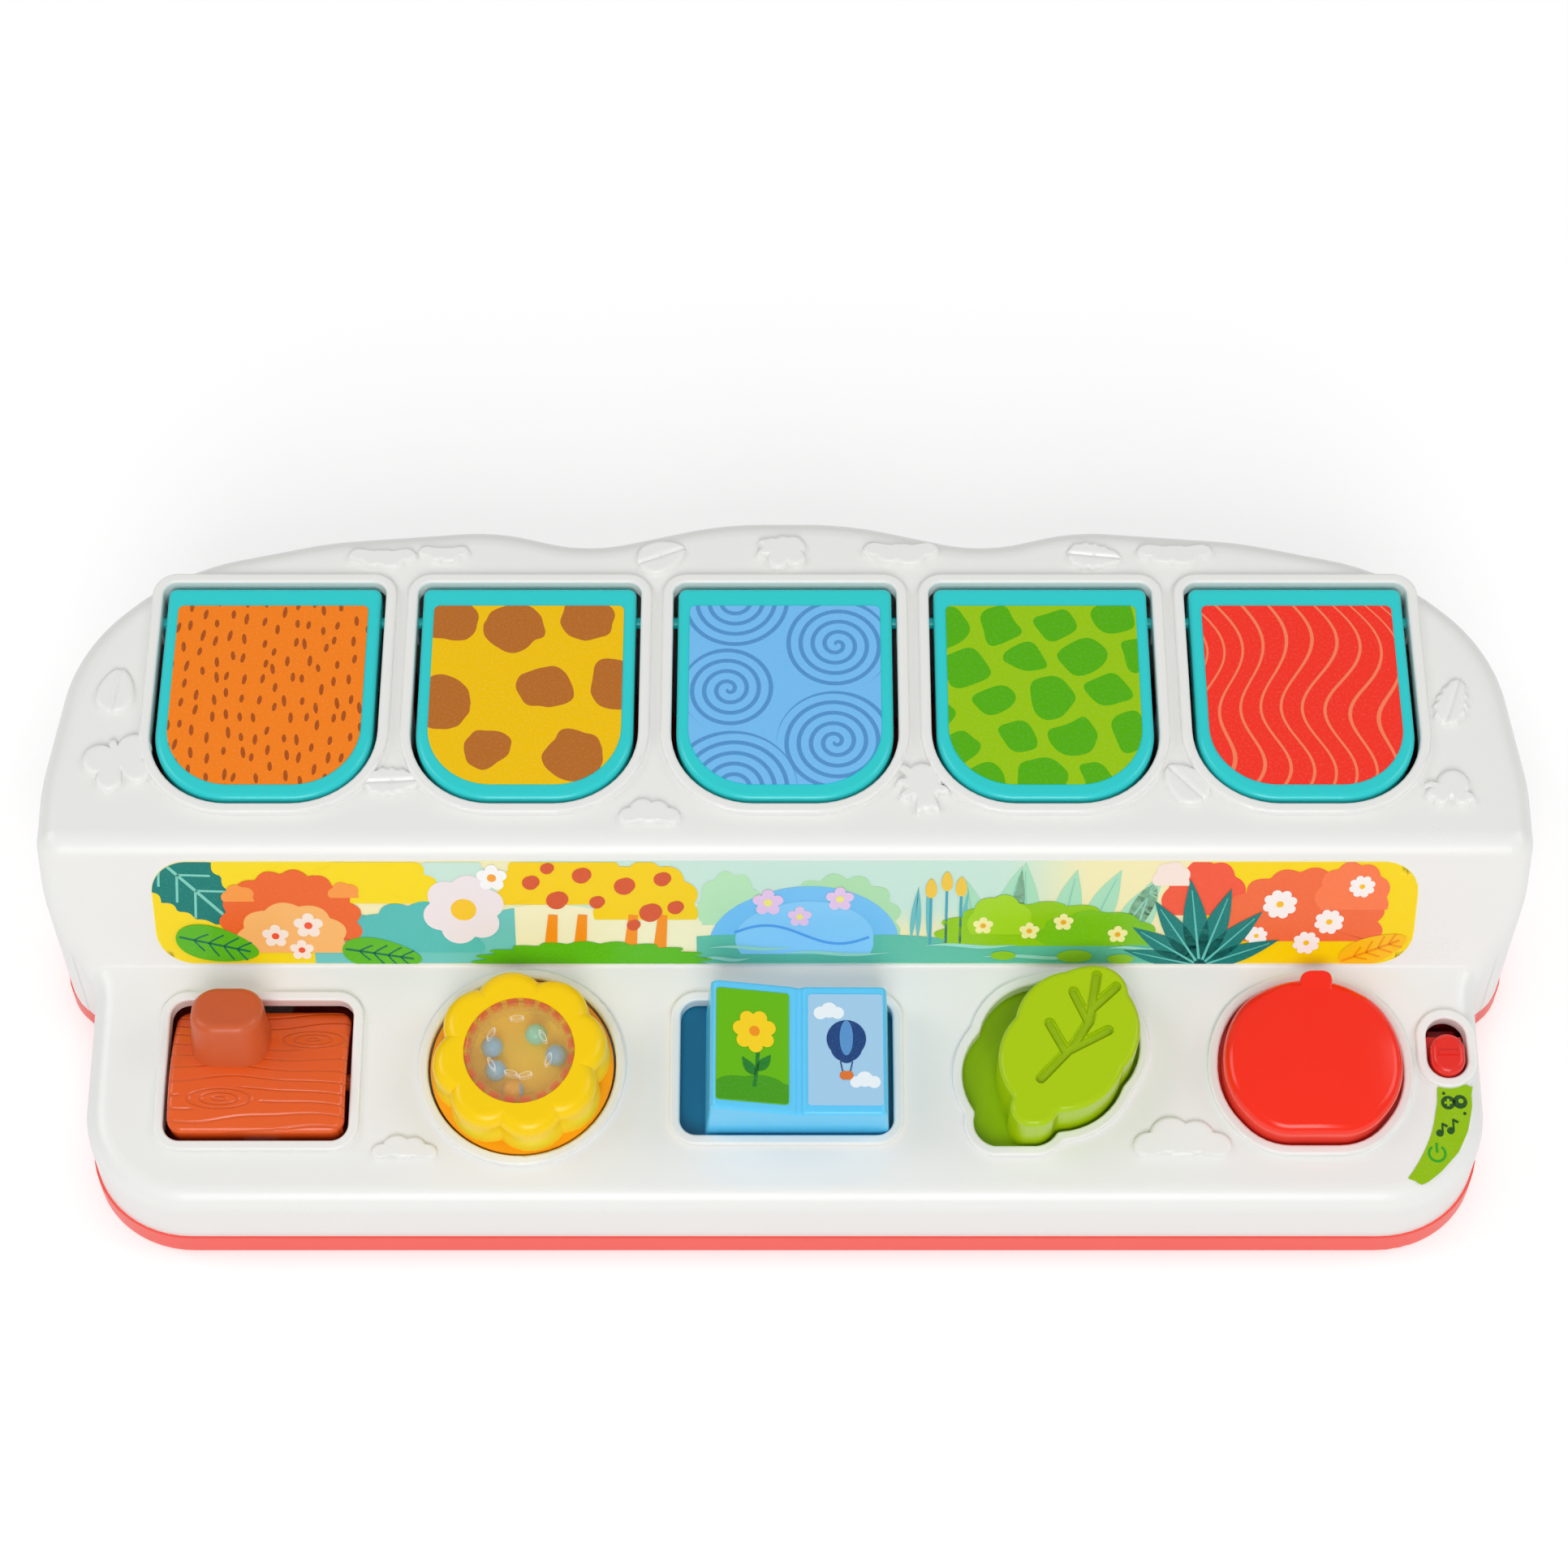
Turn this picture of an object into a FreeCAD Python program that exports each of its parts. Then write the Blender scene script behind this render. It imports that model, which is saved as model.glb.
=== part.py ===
import FreeCAD
import Part
import math
import os

from FreeCAD import Placement, Rotation, Vector

# Pop up animal toy: a two-step casing on a low base tray. Five lids on the upper deck each hide
# an animal, and five different controls on the lower deck below them each pull one lid's latch.
# Frame: +Z up, the child sits at -Y, X runs along the row of lids.
# Each deck has its own axes: x along the row, y up the slope to the back, z out of the surface.

DOC = FreeCAD.newDocument("PopUpToy")

# ---------------------------------------------------------------- driving dimensions (mm, deg)

SIZES = {
    "bay_pitch": 62.0,
    "end_margin": 52.2,
    "tray_margin": 41.0,
    "rear_high": 70.9,
    "rear_tilt": 4.7,
    "hinge_line": 60.3,
    "back_reach": 82.2,
    "deck_lip": 11.84,
    "fascia_long": 34.2,
    "fascia_lean": 65.8,
    "front_tilt": 10.0,
    "control_setback": 25.6,
    "control_front": 33.1,
    "seam_high": 7.2,
    "wall": 2.4,
    "deck_round": 6.0,
    "lid_wide": 51.8,
    "lid_long": 58.9,
    "lid_corner": 18.5,
    "lid_rise": 1.2,
    "lid_skirt": 5.2,
    "lid_wall": 1.8,
    "lid_heel": 2.0,
    "catch_wide": 8.0,
    "catch_drop": 8.0,
    "catch_in": 2.4,
    "catch_ledge": 2.5,
    "catch_thick": 2.0,
    "lid_edge": 1.5,
    "lid_gap": 1.2,
    "rim_wide": 2.6,
    "rim_high": 1.8,
    "pin_radius": 1.4,
    "pin_fit": 0.08,
    "pin_back": 7.0,
    "pin_deep": 4.1,
    "pin_reach": 3.4,
    "label_thick": 0.25,
    "ring_wide": 2.4,
    "ring_high": 1.5,
    "play": 0.3,
    "rail_deep": 19.4637686,
    "lane_back": 8.2021287,
    "rail_thick": 2.5,
    "rail_wide": 8.0,
    "latch_travel": 3.0,
    "log_wide": 41.6,
    "log_long": 33.0,
    "log_curve": 32.0,
    "log_crown": 4.0,
    "log_turn": 22.0,
    "log_knob_high": 12.0,
    "flower_reach": 20.4,
    "flower_high": 12.0,
    "dial_opening": 22.2,
    "window_radius": 13.0,
    "dial_turn": 30.0,
    "book_wide": 43.4,
    "book_long": 31.6,
    "book_tall": 18.5,
    "book_low": 13.2,
    "book_travel": 5.0,
    "leaf_tall": 13.5,
    "leaf_travel": 7.0,
    "apple_tall": 9.5,
    "apple_travel": 4.0,
    "switch_travel": 4.0,
    "switch_side": 32.4,
    "floor_low": 1.0,
    "floor_thick": 2.4,
    "cell_radius": 7.1,
    "cell_long": 49.5,
}

sheet = DOC.addObject("Spreadsheet::Sheet", "Sizes")
for row, (alias, number) in enumerate(SIZES.items(), start=1):
    sheet.set(f"A{row}", alias)
    sheet.set(f"B{row}", str(number))
    sheet.setAlias(f"B{row}", alias)
DOC.recompute()


def size(alias):
    """One driving dimension, read back from the sheet."""
    return float(sheet.get(alias))


def sin(alias):
    return math.sin(math.radians(size(alias)))


def cos(alias):
    return math.cos(math.radians(size(alias)))


def bind(thing, links):
    """Bind properties of an object to expressions over the sheet."""
    for path, expression in links.items():
        thing.setExpression(path, expression)


# Where each deck starts: the rear deck at its hinge line, the front deck at its row of controls.
REAR_Y = "Sizes.hinge_line"
REAR_Z = "Sizes.rear_high"
CORNER_Y = "(Sizes.hinge_line - (Sizes.lid_long + Sizes.deck_lip) * cos(Sizes.rear_tilt * 1 deg))"
CORNER_Z = "(Sizes.rear_high - (Sizes.lid_long + Sizes.deck_lip) * sin(Sizes.rear_tilt * 1 deg))"
FOOT_Y = f"({CORNER_Y} - Sizes.fascia_long * cos(Sizes.fascia_lean * 1 deg))"
FOOT_Z = f"({CORNER_Z} - Sizes.fascia_long * sin(Sizes.fascia_lean * 1 deg))"
FRONT_Y = f"({FOOT_Y} - Sizes.control_setback * cos(Sizes.front_tilt * 1 deg))"
FRONT_Z = f"({FOOT_Z} - Sizes.control_setback * sin(Sizes.front_tilt * 1 deg))"
DECKS = {
    "rear": (REAR_Y, REAR_Z, "Sizes.rear_tilt"),
    "front": (FRONT_Y, FRONT_Z, "Sizes.front_tilt"),
    "fascia": (FOOT_Y, FOOT_Z, "Sizes.fascia_lean"),
}


def number(expression):
    """The value of an expression over the sheet."""
    result = sheet.evalExpression(expression)
    return float(getattr(result, "Value", result))


def deck_frame(deck, bay=0):
    """Placement of one bay's local axes on a deck."""
    y, z, tilt = DECKS[deck]
    turn = Rotation(Vector(1, 0, 0), number(tilt))
    return Placement(Vector(bay * size("bay_pitch"), number(y), number(z)), turn)


def seat(thing, deck, bay=0):
    """Put an object on a deck with its place and slope bound to the sheet."""
    y, z, tilt = DECKS[deck]
    thing.Placement = deck_frame(deck, bay)
    bind(thing, {
        "Placement.Base.x": f"{bay} * Sizes.bay_pitch",
        "Placement.Base.y": y,
        "Placement.Base.z": z,
        "Placement.Rotation.Angle": f"{tilt} * 1 deg",
    })


def rail_low():
    """Height of the latch rails' underside: a fixed depth below the row of controls."""
    return number(FRONT_Z) - size("rail_deep")


def lane():
    """World y just behind the fascia, where the latches rise and the ribs and the battery box begin."""
    return number(CORNER_Y) + size("lane_back")


SUBPARTS = []


def subpart(thing, label):
    """Register an object as a sub-part of the toy."""
    thing.Label = label
    SUBPARTS.append(thing)
    return thing


def moulded(label, shape, deck=None, bay=0):
    """A free-form sub-part whose shape was worked out from the sheet."""
    thing = DOC.addObject("Part::Feature", label)
    thing.Shape = shape
    if deck:
        seat(thing, deck, bay)
    return subpart(thing, label)


# ---------------------------------------------------------------- geometry helpers


def box(x, y, z):
    """Box between three (low, high) pairs."""
    corner = Vector(x[0], y[0], z[0])
    return Part.makeBox(x[1] - x[0], y[1] - y[0], z[1] - z[0], corner)


def rod(radius, start, end):
    """Cylinder between two points."""
    start = Vector(*start)
    run = Vector(*end) - start
    return Part.makeCylinder(radius, run.Length, start, run)


def rounded_wire(corners, place=lambda u, v: Vector(u, v, 0)):
    """Closed outline through (u, v, radius) corners, each rounded by an arc."""
    count = len(corners)
    stops = []
    for index, (u, v, radius) in enumerate(corners):
        here = Vector(u, v, 0)
        back = Vector(*corners[index - 1][:2], 0) - here
        ahead = Vector(*corners[(index + 1) % count][:2], 0) - here
        back.normalize()
        ahead.normalize()
        half = back.getAngle(ahead) / 2
        if radius < 1e-6:
            stops.append((here, None, here))
            continue
        reach = radius / math.tan(half)
        middle = back + ahead
        middle.normalize()
        crown = here + middle * (radius / math.sin(half) - radius)
        stops.append((here + back * reach, crown, here + ahead * reach))
    edges = []
    for index, (enter, crown, leave) in enumerate(stops):
        if crown is not None:
            points = [place(p.x, p.y) for p in (enter, crown, leave)]
            edges.append(Part.Arc(*points).toShape())
        ahead = stops[(index + 1) % count][0]
        if leave.distanceToPoint(ahead) > 1e-6:
            edges.append(Part.LineSegment(place(leave.x, leave.y), place(ahead.x, ahead.y)).toShape())
    return Part.Wire(edges)


def slab(wire, low, high):
    """Prism on a flat outline, from one height to another."""
    face = Part.Face(wire)
    face.translate(Vector(0, 0, low))
    return face.extrude(Vector(0, 0, high - low))


def side_prism(outline, x):
    """Prism along X on a (y, z) outline with straight or rounded corners."""
    corners = [point if len(point) == 3 else (*point, 0) for point in outline]
    wire = rounded_wire(corners, lambda u, v: Vector(x[0], u, v))
    return Part.Face(wire).extrude(Vector(x[1] - x[0], 0, 0))


def plan_prism(outline, z):
    """Prism along Z on an (x, y) outline with sharp corners."""
    return slab(rounded_wire([(*point, 0) for point in outline]), *z)


def rectangle(width, length, corner, centre=(0, 0)):
    """Rounded rectangle about a centre."""
    u, v = centre
    half, reach = width / 2, length / 2
    return rounded_wire([
        (u - half, v - reach, corner),
        (u + half, v - reach, corner),
        (u + half, v + reach, corner),
        (u - half, v + reach, corner),
    ])


def disc_wire(radius, centre=(0, 0)):
    circle = Part.Circle(Vector(*centre, 0), Vector(0, 0, 1), radius)
    return Part.Wire([circle.toShape()])


def largest(shape):
    """The largest solid of a shape."""
    return max(shape.Solids, key=lambda solid: solid.Volume)


def joined(shapes):
    """Fuse a list of solids and drop the seams between them."""
    first, *others = shapes
    return first.multiFuse(others).removeSplitter()


def rounded_edges(shape, radius, pick):
    """Round the edges that a test picks."""
    solid = largest(shape)
    return solid.makeFillet(radius, [edge for edge in solid.Edges if pick(edge)])


def at_height(level, slack=0.01):
    """Test for edges that lie at one height."""
    def test(edge):
        box_of = edge.BoundBox
        return abs(box_of.ZMin - level) < slack and abs(box_of.ZMax - level) < slack
    return test


def upright(edge):
    """Test for edges that stand straight up."""
    box_of = edge.BoundBox
    return box_of.ZLength > 0.5 and box_of.XLength < 0.01 and box_of.YLength < 0.01


# ---------------------------------------------------------------- outlines shared by several pieces


def lid_outline(grow=0.0):
    """The D-shaped outline of a lid, hinged along its straight edge at y = 0."""
    half = size("lid_wide") / 2 + grow
    front = -size("lid_long") - grow
    nose = size("lid_corner") + grow
    heel = size("lid_heel") + max(grow, -1.5)
    return rounded_wire([(-half, front, nose), (half, front, nose),
                         (half, grow, heel), (-half, grow, heel)])


# Halves of the leaf's edge about the middle of its bay: each lobe is an arc (start, crown, end).
LEAF_RIGHT = [
    ((12.0, 20.8), (16.6, 18.6), (18.6, 13.6)),
    ((18.6, 13.6), (21.0, 5.2), (16.8, -4.6)),
    ((16.8, -4.6), (11.2, -12.2), (1.2, -15.4)),
    ((1.2, -15.4), (-0.6, -17.8), (-3.4, -18.9)),
]
LEAF_LEFT = [
    ((-6.0, -18.9), (-9.6, -15.6), (-9.2, -11.5)),
    ((-9.2, -11.5), (-12.3, -2.6), (-8.0, 8.0)),
    ((-8.0, 8.0), (-4.0, 15.4), (4.2, 19.4)),
    ((4.2, 19.4), (8.0, 20.6), (12.0, 20.8)),
]
LEAF_BEND = 1.6


def grown(wire, amount):
    """Outline moved outward by an amount."""
    return wire.makeOffset2D(amount, 0, False, False) if amount else wire


def leaf_outline(grow=0.0, stretch=0.0):
    """The lobed leaf, grown outward, with its left half moved back along the slide."""
    right = [Part.Arc(*[Vector(x, y, 0) for x, y in arc]).toShape() for arc in LEAF_RIGHT]
    left = [Part.Arc(*[Vector(x - stretch, y, 0) for x, y in arc]).toShape() for arc in LEAF_LEFT]
    foot = Part.LineSegment(right[-1].Vertexes[-1].Point, left[0].Vertexes[0].Point).toShape()
    edges = right + [foot] + left
    if stretch:
        edges.append(Part.LineSegment(left[-1].Vertexes[-1].Point, right[0].Vertexes[0].Point).toShape())
    return grown(grown(grown(Part.Wire(edges), grow + LEAF_BEND), -2 * LEAF_BEND), LEAF_BEND)


# Half of the apple's edge: its flat foot, its flank, its shoulder and its crown.
APPLE_HALF = [(11.5, -18.7, 13), (21.0, -8.0, 18), (21.0, 5.9, 22), (15.66, 14.54, 14), (5.8, 19.9, 22)]


def apple_outline(grow=0.0):
    """The apple: wide shoulders above a flat foot."""
    return grown(rounded_wire(APPLE_HALF + [(-x, y, bend) for x, y, bend in reversed(APPLE_HALF)]), grow)


def book_opening(grow=0.0):
    width = size("book_wide") + size("book_travel") + 2 * CONTROL_GAP + 2 * grow
    centre = -size("book_travel") / 2 + BOOK_SHIFT
    return rectangle(width, size("book_long") + 2 * CONTROL_GAP + 2 * grow, 4.0 + grow, (centre, BOOK_BACK))


def log_opening(grow=0.0):
    return rectangle(size("log_wide") + 2 * CONTROL_GAP + 2 * grow,
                     size("log_long") + 2 * CONTROL_GAP + 2 * grow, 4.0 + grow, (0, LOG_BACK))


def switch_opening(grow=0.0):
    width = SWITCH_WIDE + 1.4 + 2 * grow
    length = SWITCH_LONG + size("switch_travel") + 0.6 + 2 * grow
    centre = (size("switch_side"), SWITCH_Y + size("switch_travel") / 2)
    return rectangle(width, length, width / 2 - 0.01, centre)


CONTROL_GAP = 0.9
BOOK_SHIFT = 2.9
BOOK_BACK = -0.4
LOG_BACK = -1.1
SWITCH_WIDE = 8.1
SWITCH_LONG = 10.2
SWITCH_Y = 2.4
BAYS = {"log": -2, "flower": -1, "book": 0, "leaf": 1, "apple": 2}


def bay_x(name):
    """Where a control's bay stands along the row."""
    return BAYS[name] * size("bay_pitch")


def control_openings(grow=0.0):
    """The outline of every opening of the front deck, with the bay it is in."""
    return [
        (BAYS["log"], log_opening(grow)),
        (BAYS["flower"], disc_wire(size("dial_opening") + grow)),
        (BAYS["book"], book_opening(grow)),
        (BAYS["leaf"], leaf_outline(CONTROL_GAP + grow, size("leaf_travel"))),
        (BAYS["apple"], apple_outline(CONTROL_GAP + grow)),
        (BAYS["apple"], switch_opening(grow)),
    ]


# ---------------------------------------------------------------- casing

# Corners of half the rear outline, as shares of the half width and of the back's reach, each with
# the radius of its bend: the scalloped back, the round end and the side down to the shoulder.
BACK_EDGE = [(0.085, 1.004, 80), (0.275, 0.905, 40), (0.405, 0.978, 50), (0.635, 0.938, 90),
             (0.845, 0.835, 54), (0.975, 0.56, 42), (1.003, 0.10, 60)]
TRAY_CORNER = 25.0
SHOULDER_BEND = 14.0
TOP_LEVEL = size("rear_high") + 9.1
INNER_ROUND = 2.5
BOSS_RADIUS = 3.6
SCREW_HOLE = 1.3
SCREW_HEAD = 2.8


def casing_outline(inset=0.0):
    """Plan outline of the casing, moved in from its outer face."""
    rear_half = 2 * size("bay_pitch") + size("end_margin")
    wide = 1 - inset / rear_half
    deep = 1 - inset / size("back_reach")
    tray = 2 * size("bay_pitch") + size("tray_margin") - inset
    shoulder = number(FOOT_Y) - inset
    front = number(FRONT_Y) - size("control_front") + inset
    half = [(x * rear_half * wide, y * size("back_reach") * deep, bend) for x, y, bend in BACK_EDGE]
    half.append((rear_half * wide, shoulder + 8, SHOULDER_BEND))
    half.append((tray, shoulder - 2, SHOULDER_BEND))
    half.append((tray, front, TRAY_CORNER - inset))
    return rounded_wire(half + [(-x, y, bend) for x, y, bend in reversed(half)])


def deck_profile(inset=0.0):
    """Side view of everything under the decks, as (y, z, radius) corners."""
    front = number(FRONT_Y) - size("control_front") - 20
    back = size("back_reach") + 20
    drop_rear = inset / cos("rear_tilt")
    drop_front = inset / cos("front_tilt")
    lean = math.radians(size("fascia_lean"))

    def line(y0, z0, tilt):
        return lambda y: z0 + (y - y0) * math.tan(tilt)

    rear = line(number(CORNER_Y), number(CORNER_Z) - drop_rear, math.radians(size("rear_tilt")))
    fore = line(number(FOOT_Y), number(FOOT_Z) - drop_front, math.radians(size("front_tilt")))
    slope = line(number(FOOT_Y) + inset / math.sin(lean), number(FOOT_Z), lean)

    def meet(first, second):
        """Height line crossing, found from two points on each line."""
        gap = first(0) - second(0)
        rise = (second(1) - second(0)) - (first(1) - first(0))
        y = gap / rise
        return y, first(y)

    corner = meet(rear, slope)
    foot = meet(fore, slope)
    return [
        (front, -20, 0),
        (front, fore(front), 0),
        (*foot, 1.2),
        (*corner, max(7.0 - inset, 1.0)),
        (back, rear(back), 0),
        (back, -20, 0),
    ]


def casing_block(inset, low):
    """The casing as a solid block, moved in from its outer face."""
    block = slab(casing_outline(inset), low, TOP_LEVEL)
    return largest(block.common(side_prism(deck_profile(inset), (-260, 260))))


def is_wall(face):
    """True for the near-upright side faces of the casing."""
    u0, u1, v0, v1 = face.ParameterRange
    return abs(face.normalAt((u0 + u1) / 2, (v0 + v1) / 2).z) < 0.3


def round_the_decks(block, radius):
    """Round the edge between the decks and the side walls."""
    edges = []
    for edge in block.Edges:
        faces = block.ancestorsOfType(edge, Part.Face)
        walls = [face for face in faces if is_wall(face)]
        if len(faces) == 2 and len(walls) == 1 and edge.BoundBox.ZMax > size("seam_high") + 5:
            edges.append(edge)
    return block.makeFillet(radius, edges)


def rim(outer, inner, high, edge):
    """Raised rim round an opening, with both upper edges rounded."""
    ring = slab(outer, -1.0, high).cut(slab(inner, -2.0, high + 1))
    return rounded_edges(ring, edge, at_height(high))


def screw_places():
    """Where the casing's screw bosses stand: (x, y)."""
    pitch = size("bay_pitch")
    tray_front = number(FRONT_Y) - size("control_front")
    side = 2 * pitch + size("tray_margin") - 10.0
    return [
        (-side, tray_front + 13.5),
        (side, tray_front + 13.5),
        (-pitch / 2, tray_front + 8.2),
        (pitch / 2, tray_front + 8.2),
        (-1.5 * pitch, size("hinge_line") / 2),
        (1.5 * pitch, size("hinge_line") / 2),
        (-pitch / 2, size("hinge_line") + 10.5),
        (pitch / 2, size("hinge_line") + 10.5),
    ]


def hinge_blocks():
    """Bearing blocks under the rear deck, between and beside the lids."""
    half = size("lid_wide") / 2
    bore = size("pin_radius") + size("pin_fit")
    back, deep = -size("pin_back"), -size("pin_deep")
    blocks = []
    bores = []
    for bay in range(-2, 3):
        for side in (-1, 1):
            x = bay * size("bay_pitch") + side * (half + size("lid_gap") + size("pin_reach") / 2 + 0.2)
            reach = size("pin_reach") / 2 + 0.2
            levels = (deep - 3.4, -size("wall") + 0.4)
            blocks.append(box((x - reach, x + reach), (back - 4, back + 4), levels))
            bores.append(rod(bore, (x - reach - 1, back, deep), (x + reach + 1, back, deep)))
    frame = deck_frame("rear")
    for shape in blocks + bores:
        shape.Placement = frame.multiply(shape.Placement)
    return blocks, bores


def top_casing():
    """The moulded upper casing: walls, both decks, rims, screw bosses and hinge blocks."""
    outer = round_the_decks(casing_block(0.0, size("seam_high")), size("deck_round"))
    inner = casing_block(size("wall"), size("seam_high") - 5)
    inner = round_the_decks(inner, INNER_ROUND)
    shell = outer.cut(inner)
    added = []
    cut = []
    for bay in range(-2, 3):
        frame = deck_frame("rear", bay)
        gap = size("lid_gap")
        ring = rim(lid_outline(gap + size("rim_wide")), lid_outline(gap), size("rim_high"), 0.7)
        hole = slab(lid_outline(gap), -8, 8)
        for shape, store in ((ring, added), (hole, cut)):
            shape.Placement = frame
            store.append(shape)
    for (bay, hole), (_, edge) in zip(control_openings(), control_openings(size("ring_wide"))):
        frame = deck_frame("front", bay)
        ring = rim(edge, hole, size("ring_high"), 0.6)
        opening = slab(hole, -8, 8)
        for shape, store in ((ring, added), (opening, cut)):
            shape.Placement = frame
            store.append(shape)
    blocks, bores = hinge_blocks()
    bosses = []
    for x, y in screw_places():
        post = rod(BOSS_RADIUS, (x, y, size("seam_high") - 1), (x, y, TOP_LEVEL))
        bosses.append(post.common(inner.fuse(outer)))
        cut.append(rod(SCREW_HOLE, (x, y, 0), (x, y, size("seam_high") + 10)))
    shell = shell.cut(cut)
    return joined([shell] + added + blocks + bosses).cut(bores + cut[-len(bosses):])


moulded("top_casing", top_casing())

# ---------------------------------------------------------------- base tray

BASE_TUCK = 1.4
BASE_PROUD = 0.6
RIB_THICK = 1.6
RIB_DEEP = 14.9
BAY_WALL = 1.6
BATTERY_SCREW_IN = 3.4


def battery_bay():
    """Half width, front, back and roof height of the battery compartment."""
    half = 3 * size("cell_radius") + 1.6
    front = lane() + 5.0
    back = front + size("cell_long") + 6.0
    roof = size("floor_low") + 2.0 + 2 * size("cell_radius") + 0.6
    return half, front, back, roof


def base_tray():
    """The low base: a rim that carries the casing, a floor, ribs, guides and the battery box."""
    body = slab(casing_outline(-BASE_PROUD), 0, size("seam_high"))
    body = rounded_edges(body, BASE_TUCK, at_height(0))
    floor_top = size("floor_low") + size("floor_thick")
    hollow = slab(casing_outline(size("wall")), floor_top, size("seam_high") + 2)
    under = slab(casing_outline(size("wall") + 1.0), -1, size("floor_low"))
    body = body.cut([hollow, under])
    half, front, back, roof = battery_bay()
    added = []
    pitch = size("bay_pitch")
    for place in (-1.5, -0.5, 0.5, 1.5):
        x = place * pitch
        added.append(box((x - RIB_THICK / 2, x + RIB_THICK / 2), (lane() + 4, size("hinge_line") - 2),
                         (floor_top - 0.2, size("rear_high") - RIB_DEEP)))
    guide = size("rail_wide") / 2 + size("play")
    for bay in range(-2, 3):
        for y in (number(FRONT_Y) + 14, lane() - 8):
            x = bay * pitch
            low = rail_low()
            cradle = box((x - guide - 1.6, x + guide + 1.6), (y - 3, y + 3), (floor_top - 0.2, low + 3.5))
            lane_cut = box((x - guide, x + guide), (y - 4, y + 4), (low - size("play"), low + 5))
            added.append(cradle.cut(lane_cut))
    outer_bay = box((-half - BAY_WALL, half + BAY_WALL), (front - BAY_WALL, back + BAY_WALL),
                    (floor_top - 0.2, roof + BAY_WALL))
    added.append(outer_bay)
    cut = [box((-half, half), (front, back), (-1, roof))]
    for x, y in screw_places():
        added.append(rod(BOSS_RADIUS + 1.2, (x, y, floor_top - 0.2), (x, y, size("seam_high") - 1.3)))
        cut.append(rod(SCREW_HOLE + 0.3, (x, y, -1), (x, y, size("seam_high") + 1)))
        cut.append(rod(3.0, (x, y, -1), (x, y, floor_top)))
    for bay in (-1.5, 1.5):
        x, y = bay * pitch, size("hinge_line") / 2
        cut.append(rod(BOSS_RADIUS + 0.6, (x, y, size("seam_high") - 1.2), (x, y, TOP_LEVEL)))
    for ring, count in ((5.5, 6), (11.0, 12), (16.0, 18)):
        for step in range(count):
            angle = 2 * math.pi * step / count
            x = -pitch + ring * math.cos(angle)
            y = SPEAKER_Y + ring * math.sin(angle)
            cut.append(rod(1.2, (x, y, 0), (x, y, floor_top + 1)))
    low = size("floor_low")
    screw_y = back - BATTERY_SCREW_IN
    boss = box((-4.5, 4.5), (screw_y - 2.0, back + 0.2), (low + 1.9, low + 5.8))
    tray = joined([body] + added).cut(cut).fuse(boss)
    return tray.cut(rod(SCREW_HOLE, (0, screw_y, low), (0, screw_y, low + 7)))


SPEAKER_Y = 32.0
moulded("base_tray", base_tray())

# ---------------------------------------------------------------- lids


def named_edges(shape, pick):
    return [f"Edge{index}" for index, edge in enumerate(shape.Edges, start=1) if pick(edge)]


def solid_box(body, name, wide, deep, tall, x, y, z):
    """Additive box feature; every size and place is an expression."""
    feature = body.newObject("PartDesign::AdditiveBox", name)
    bind(feature, {
        "Length": wide,
        "Width": deep,
        "Height": tall,
        "Placement.Base.x": x,
        "Placement.Base.y": y,
        "Placement.Base.z": z,
    })
    return feature


def rounded(body, name, radius, pick):
    """Fillet feature on the edges of the body's last shape that a test picks."""
    DOC.recompute()
    base = body.Tip
    feature = body.newObject("PartDesign::Fillet", name)
    feature.Base = (base, named_edges(base.Shape, pick))
    bind(feature, {"Radius": radius})
    return feature


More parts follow.
